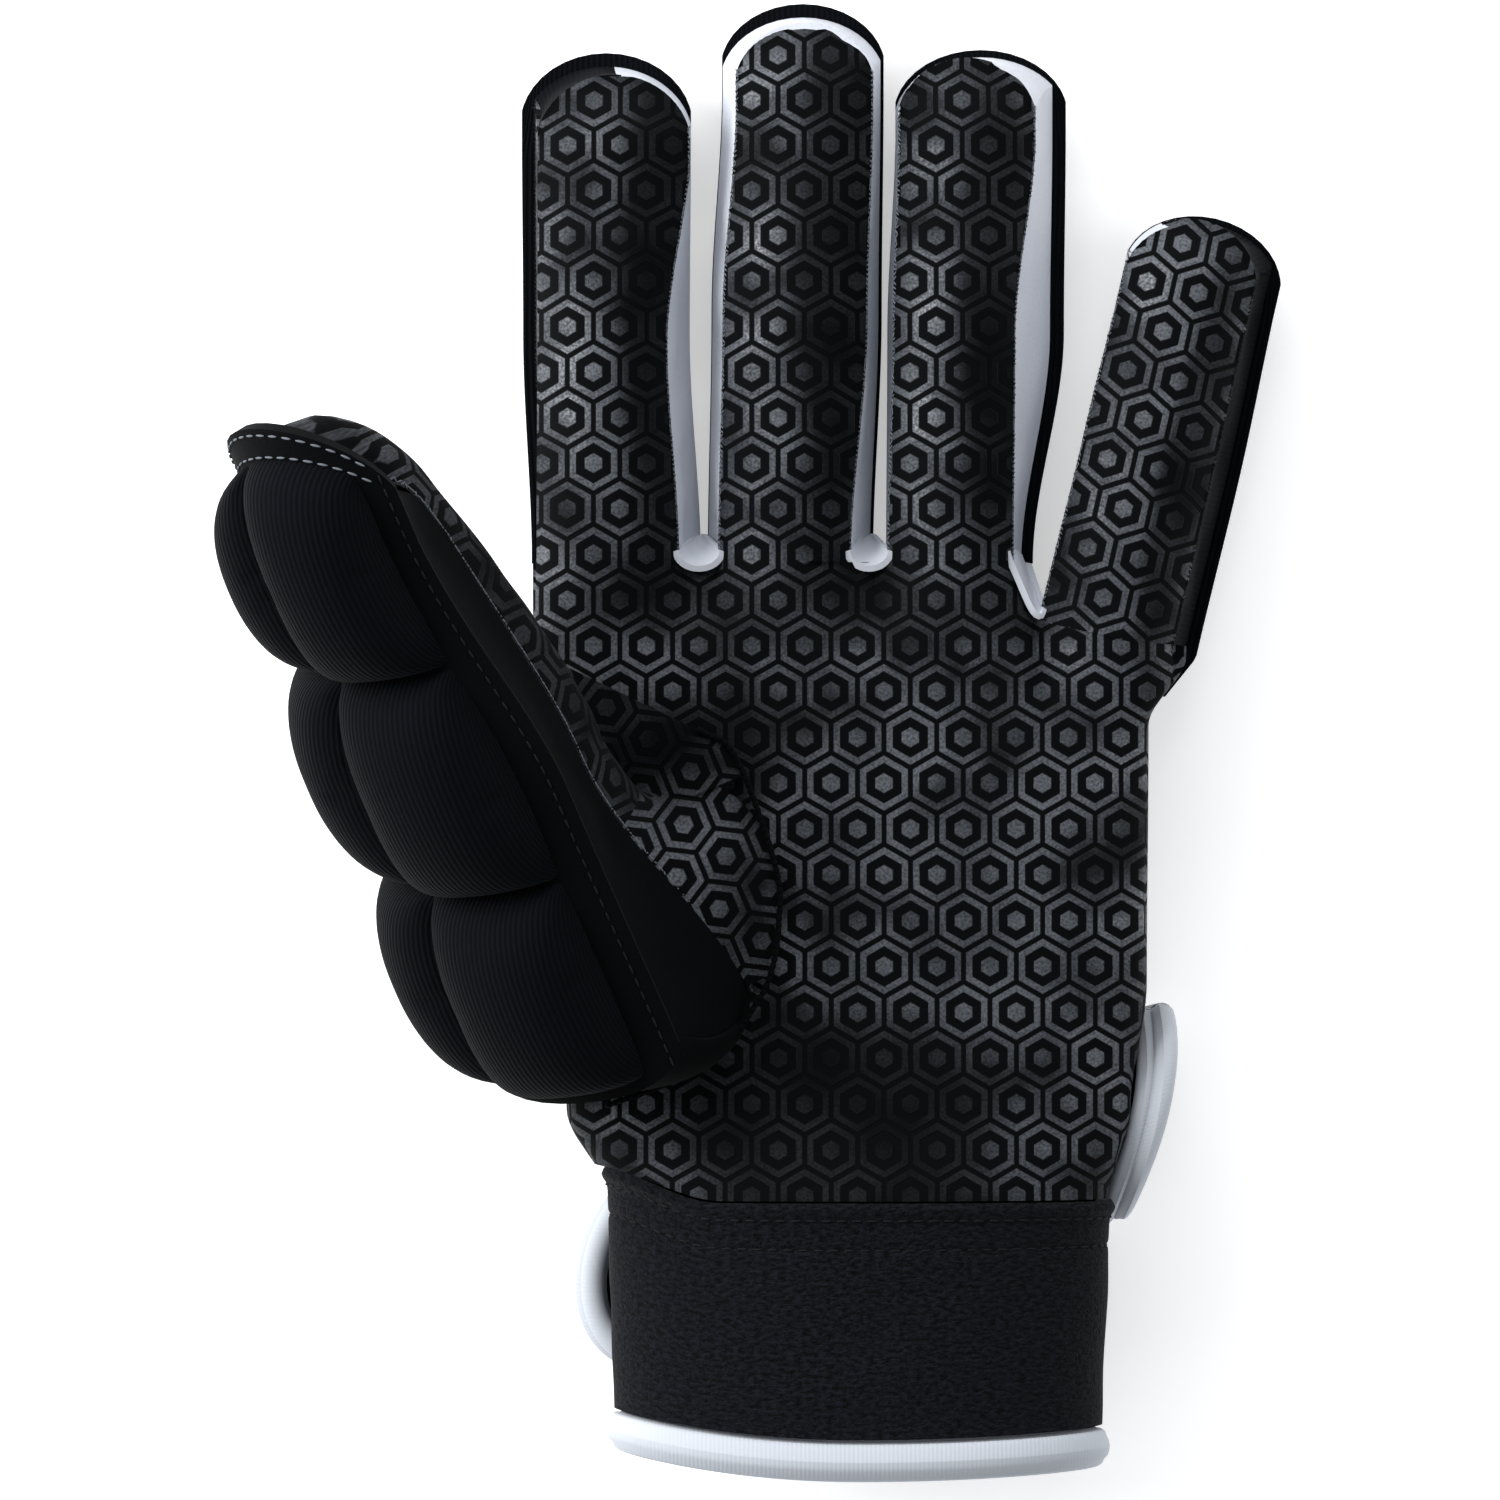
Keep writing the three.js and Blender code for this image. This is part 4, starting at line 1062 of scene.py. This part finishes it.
for i in range(pad_columns):
    for j in range(pad_rows):

        def hand_pad_place(s, t, drop):
            return hand_back_place((2 * (i + s)) / pad_columns - 1, (2 * (j + t)) / pad_rows - 1, drop)

        def hand_foam(s, t):
            return hand_pad_place(s, t, 0).z / 0.9 - knit_drops[1]

        pad(f"hand_pad_{i + 1}_{j + 1}", "hand", hand_pad_place, hand_foam, "hand_back_panel")


def hand_skin_point(s, t):
    """The knit that carries the pads of the hand's back."""
    u = 2 * s - 1
    return back_base(u, mix(wrist_y, palm_end(back_base(u, web_y).x), t))


hand_skin = fabric("hand_back_skin", grid_of(48, 60, hand_skin_point), black_knit, wall=1.4)
settle(hand_skin, "hand", "black_knit")

# The pads are enlarged while the air goes in, as cloth of their own size would hardly move. Each point then
# moves the way that it went, but no further than the cap.
rests = [np.array([v.co for v in piece.data.vertices]) for piece, body, node_name in pads]
moments = 20
air = dict(
    quality=4, mass=0.05, tension_stiffness=12, bending_stiffness=0.4, use_pressure=True,
    uniform_pressure_force=4, shrink_min=-0.03, vertex_group_mass="sewn",
)
for piece, body, node_name in pads:
    piece.data.transform(Matrix.Scale(swell_scale, 4))
    cloth = piece.modifiers.new("air", "CLOTH")
    for key, value in air.items():
        setattr(cloth.settings, key, value)
    cloth.settings.effector_weights.gravity = 0
    cloth.point_cache.frame_end = moments
for moment in range(1, moments + 1):
    scene.frame_set(moment)
for (piece, body, node_name), rest in zip(pads, rests):
    settled = applied(piece)
    shift = np.array([v.co for v in settled.vertices]) / swell_scale - rest
    reach = np.maximum(np.linalg.norm(shift, axis=1, keepdims=True), 1e-9)
    placed = rest + shift / reach * np.minimum(reach, swell_cap / 1000)
    placed[:, 2] = np.maximum(placed[:, 2], 0)
    piece.modifiers.clear()
    piece.data.vertices.foreach_set("co", placed.ravel())
    piece.modifiers.new("rounder", "SUBSURF").levels = 1
    piece.data = applied(piece)
    piece.modifiers.clear()
    settle(piece, body, "black_knit", node_name)
scene.frame_set(1)

# Wrist band: a tube of black elastic that grips the wrist. It is sewn to the hand under a folded edge, with
# two rows of stitches.
band_length = 37.8
band_taper = 1.2
hem_lift = (4.6, 1.8)
fold_share = 0.035
fold_height = 0.9
crease_share = 0.2
crease_depth = 0.35
stitch_shares = (0.075, crease_share)
wrist_section = hand_section(wrist_y)

# Knitted elastic with covered rubber threads: short uneven loops, longer across the band than along it,
# look like a dull coarse weave
loop_size = (1.2821, 0.5917)
elastic, tree, shader, uv = surface("ribbed_elastic", "#060709", 0.85, 0.08, 0.03)
flat = {0: uv, 1: (1 / loop_size[0], 1 / loop_size[1], 0)}
flat = node(tree, "ShaderNodeVectorMath", flat, operation="MULTIPLY")
loops = {"Vector": flat, "Scale": 1.0, "Detail": 3.0, "Roughness": 0.7}
loops = node(tree, "ShaderNodeTexNoise", loops)
raise_by(tree, shader, loops, 0.8)
# The loops also set the base colour: painted light on the loops and painted shade in the gaps between them
loops = node(tree, "ShaderNodeMapRange", {0: loops, 1: 0.38, 2: 0.62})
shade_by(tree, shader, loops, "#010102", "#15171d")


def hem_y(x):
    """The lower edge of the band, which climbs at both sides."""
    share = (x - wrist_centre) / (wrist_size[0] / 2)
    return wrist_y - band_length + (hem_lift[0] if share < 0 else hem_lift[1]) * share * share


def band_point(s, t, out=0.0):
    angle = -pi / 2 - s * tau
    centre, half, middle, rise, power = wrist_section
    section = (centre, half - band_taper * t, middle, rise, power)
    x, _ = on_section(section, angle)
    y = mix(seam_y(x) - 0.3, hem_y(x), t)
    fold = fold_height * exp(-(((t - fold_share) / 0.03) ** 2))
    fold -= crease_depth * exp(-(((t - crease_share) / 0.012) ** 2))
    ripple = noise.noise(Vector((x / 16, y / 9, 5))) * 0.45
    x, z = on_section(section, angle, out + 0.2 + fold + ripple * sin(pi * t))
    return Vector((x, y, z))


band = fabric("wrist_knit", grid_of(128, 60, band_point), elastic, wall=-2)
settle(band, "hand", "ribbed_elastic", "wrist_band")
for number, share in enumerate(stitch_shares):
    line = [band_point(mix(0.27, 0.73, j / 120), share, 0.1) for j in range(121)]
    row = stitches(f"wrist_stitches_{number + 1}", line, dark_thread, **lock_stitch)
    settle(row, "hand", "ribbed_elastic")

# Wrist binding: a soft white tape, rolled round the mouth of the band and sewn through, which leaves a few
# folds along it.
hem_size = (5, 6.4)
hem_overlap = 0.3
hem_inset = 1.1
tape_folds = (0.07, 0.2, 0.88)
fold_width = 0.025
fold_depth = 0.1

# Grosgrain, woven with a thick weft: matt white with fine ribs
tape_rib_pitch = 0.698
white_binding, tree, shader, uv = surface("white_binding", "#b6bbc2", 0.8, 0.12, 0.08)
wave = {"Vector": uv, "Scale": tau / tape_rib_pitch / wave_turn, "Distortion": 0.5}
ribs = node(tree, "ShaderNodeTexWave", wave, 1, bands_direction="X")
raise_by(tree, shader, ribs, 0.02)


def tape_swell(t):
    """The share of the tape's radius at a place round it, less in its folds."""
    folds = sum(exp(-((((t - place + 0.5) % 1 - 0.5) / fold_width) ** 2)) for place in tape_folds)
    return 1 - fold_depth * folds


def hem_point(s, t):
    angle = -pi / 2 - s * tau
    centre, half, middle, rise, power = wrist_section
    swell = tape_swell(t)
    out = cos(t * tau) * swell * hem_size[0] / 2 - hem_inset
    x, z = on_section((centre, half - band_taper, middle, rise, power), angle, out)
    along_band = sin(t * tau) * swell * hem_size[1] / 2
    return Vector((x, hem_y(x) - hem_overlap - hem_size[1] / 2 + along_band, z))


hem = fabric("wrist_hem", grid_of(128, 24, hem_point), white_binding)
settle(hem, "hand", "white_binding", "wrist_binding")

# Strap: neoprene webbing bound in white tape, sewn across the back of the wrist. Its free end folds up
# beside the little finger as a tab, which closes with a patch of hook tape.
strap_wall = 2.4
strap_height = 2.5
strap_left = 40
strap_right = 46.5
strap_skew = (0.32, 0.587)
strap_bend = 7
strap_rounding = 0.9
tab_root = strap_right + strap_bend * pi / 2
tab_end = tab_root + 15
patch_inset = 5
patch_wall = 0.9
fold_lift = 2.8
tab_bow = 1.7
tape_start = tab_root + 0.3
tape_edge = 0.35
turn_starts = (2, 1)
turn_ends = (4.2, 6.8)
strap_matrix = Matrix.Translation((*strap_centre, 0)) @ turn_about(strap_lean, "Z")

# Hook tape, moulded from nylon: small stiff hooks in rows look like a dull grid
hook_pitch = 0.9091
hook_tape, tree, shader, uv = surface("hook_tape", "#08080a", 0.6, 0.3)
hooks = {"Vector": uv, "Scale": 1 / hook_pitch, "Randomness": 0.2}
hooks = node(tree, "ShaderNodeTexVoronoi", hooks, "Distance")
raise_by(tree, shader, hooks, -0.6)


def strap_point(s, w, width, lift=0.0):
    """A point at distance s along the strap and share w across it, lifted towards the hand."""
    y = w * width / 2
    skew = y * mix(*strap_skew, min(max((s + strap_left) / (strap_left + strap_right), 0), 1))
    if s < strap_right:
        return strap_matrix @ Vector((s + skew, y, strap_height + lift))
    turn = min((s - strap_right) / strap_bend, pi / 2)
    rise = max(s - tab_root, 0)
    radius = strap_bend - lift
    x = strap_right + skew + radius * sin(turn) - tab_bow * w * w * turn
    return strap_matrix @ Vector((x, y, strap_height + strap_bend - radius * cos(turn) + rise))


def settle_fold(piece, slot, *nodes):
    """Bakes a piece of the strap that ends at the tab's fold into its mesh, and hides the CAD nodes that it
    replaces. The fold's ends are worked out, but the piece does not turn with the tab.
    """
    aside = -(turn_ends[0] - turn_starts[0]) * strap_skew[1]
    first = strap_matrix @ Vector((strap_right + turn_starts[0], 0, strap_height + turn_starts[1]))
    last = strap_matrix @ Vector((strap_right + turn_ends[0], aside, strap_height + turn_ends[1]))
    row_point(first)
    row_point(last)
    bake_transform(piece)
    mark(piece, nodes)


def end_inset(w, width):
    return width / 2 * strap_rounding * (1 - sqrt(1 - (corner_share * w) ** 2))


def webbing(name, start, end, material, width=strap_width, lift=0, wall=strap_wall):
    """A stretch of webbing between two places that may depend on the share across it."""
    layers = []
    for side in (0.5, -0.5):

        def place(s, t):
            w = arc(t)
            return strap_point(mix(start(w), end(w), s), w, width, lift + side * wall)

        layers.append(grid_of(60, 16, place))
    return fabric(name, layers[0], material, under=layers[1])


def tape(name, root, end, facing, lift=0.0):
    """A binding down one edge of the webbing, round its end and back up the other edge."""
    reach = binding_radius + tape_edge
    width = strap_width + 2 * reach
    shares = [arc(k / 40) for k in range(41)]
    ends = [(end + facing * (reach - end_inset(w, width)), w) for w in shares]
    straight = [k / 40 for k in range(40)]
    route = [(mix(root, ends[0][0], t), -1) for t in straight] + ends
    route += [(mix(root, ends[-1][0], t), 1) for t in reversed(straight)]
    points = [strap_point(s, w, width, lift) for s, w in route]
    lifts = [(strap_point(s, w, width, 1) - strap_point(s, w, width)).normalized() for s, w in route]

    def place(s, t):
        k = round(s * (len(points) - 1))
        ahead = points[min(k + 1, len(points) - 1)] - points[max(k - 1, 0)]
        beside = ahead.cross(lifts[k]).normalized()
        radius = binding_radius * tape_swell(t + 0.15)
        turn = t * tau
        return points[k] + (beside * cos(turn) + lifts[k] * sin(turn)) * radius

    return fabric(name, grid_of(len(points) - 1, 20, place), white_binding)


strap = webbing("strap", lambda w: end_inset(w, strap_width) - strap_left, lambda w: tab_root, neoprene)
settle_fold(strap, "neoprene", "wrist_strap")
settle_fold(tape("strap_tape", tape_start, -strap_left, -1), "white_binding", "strap_binding")
settle_fold(tape("strap_inner_tape", tape_start, 1 - strap_left, -1, fold_lift), "white_binding")
tab = webbing("tab", lambda w: tab_root, lambda w: tab_end - end_inset(w, strap_width), neoprene)
settle(tab, "strap_tab", "neoprene", "strap_tab")
settle(tape("tab_tape", tape_start, tab_end, 1), "strap_tab", "white_binding", "tab_binding")
settle(tape("tab_inner_tape", tape_start, tab_end - 1, 1, fold_lift), "strap_tab", "white_binding")
patch = webbing(
    "hooks", lambda w: tab_root + 0.4, lambda w: tab_end - patch_inset, hook_tape,
    width=strap_width - 2 * patch_inset, lift=strap_wall / 2 + 0.8, wall=patch_wall,
)
settle(patch, "strap_tab", "hook_tape", "hook_patch")
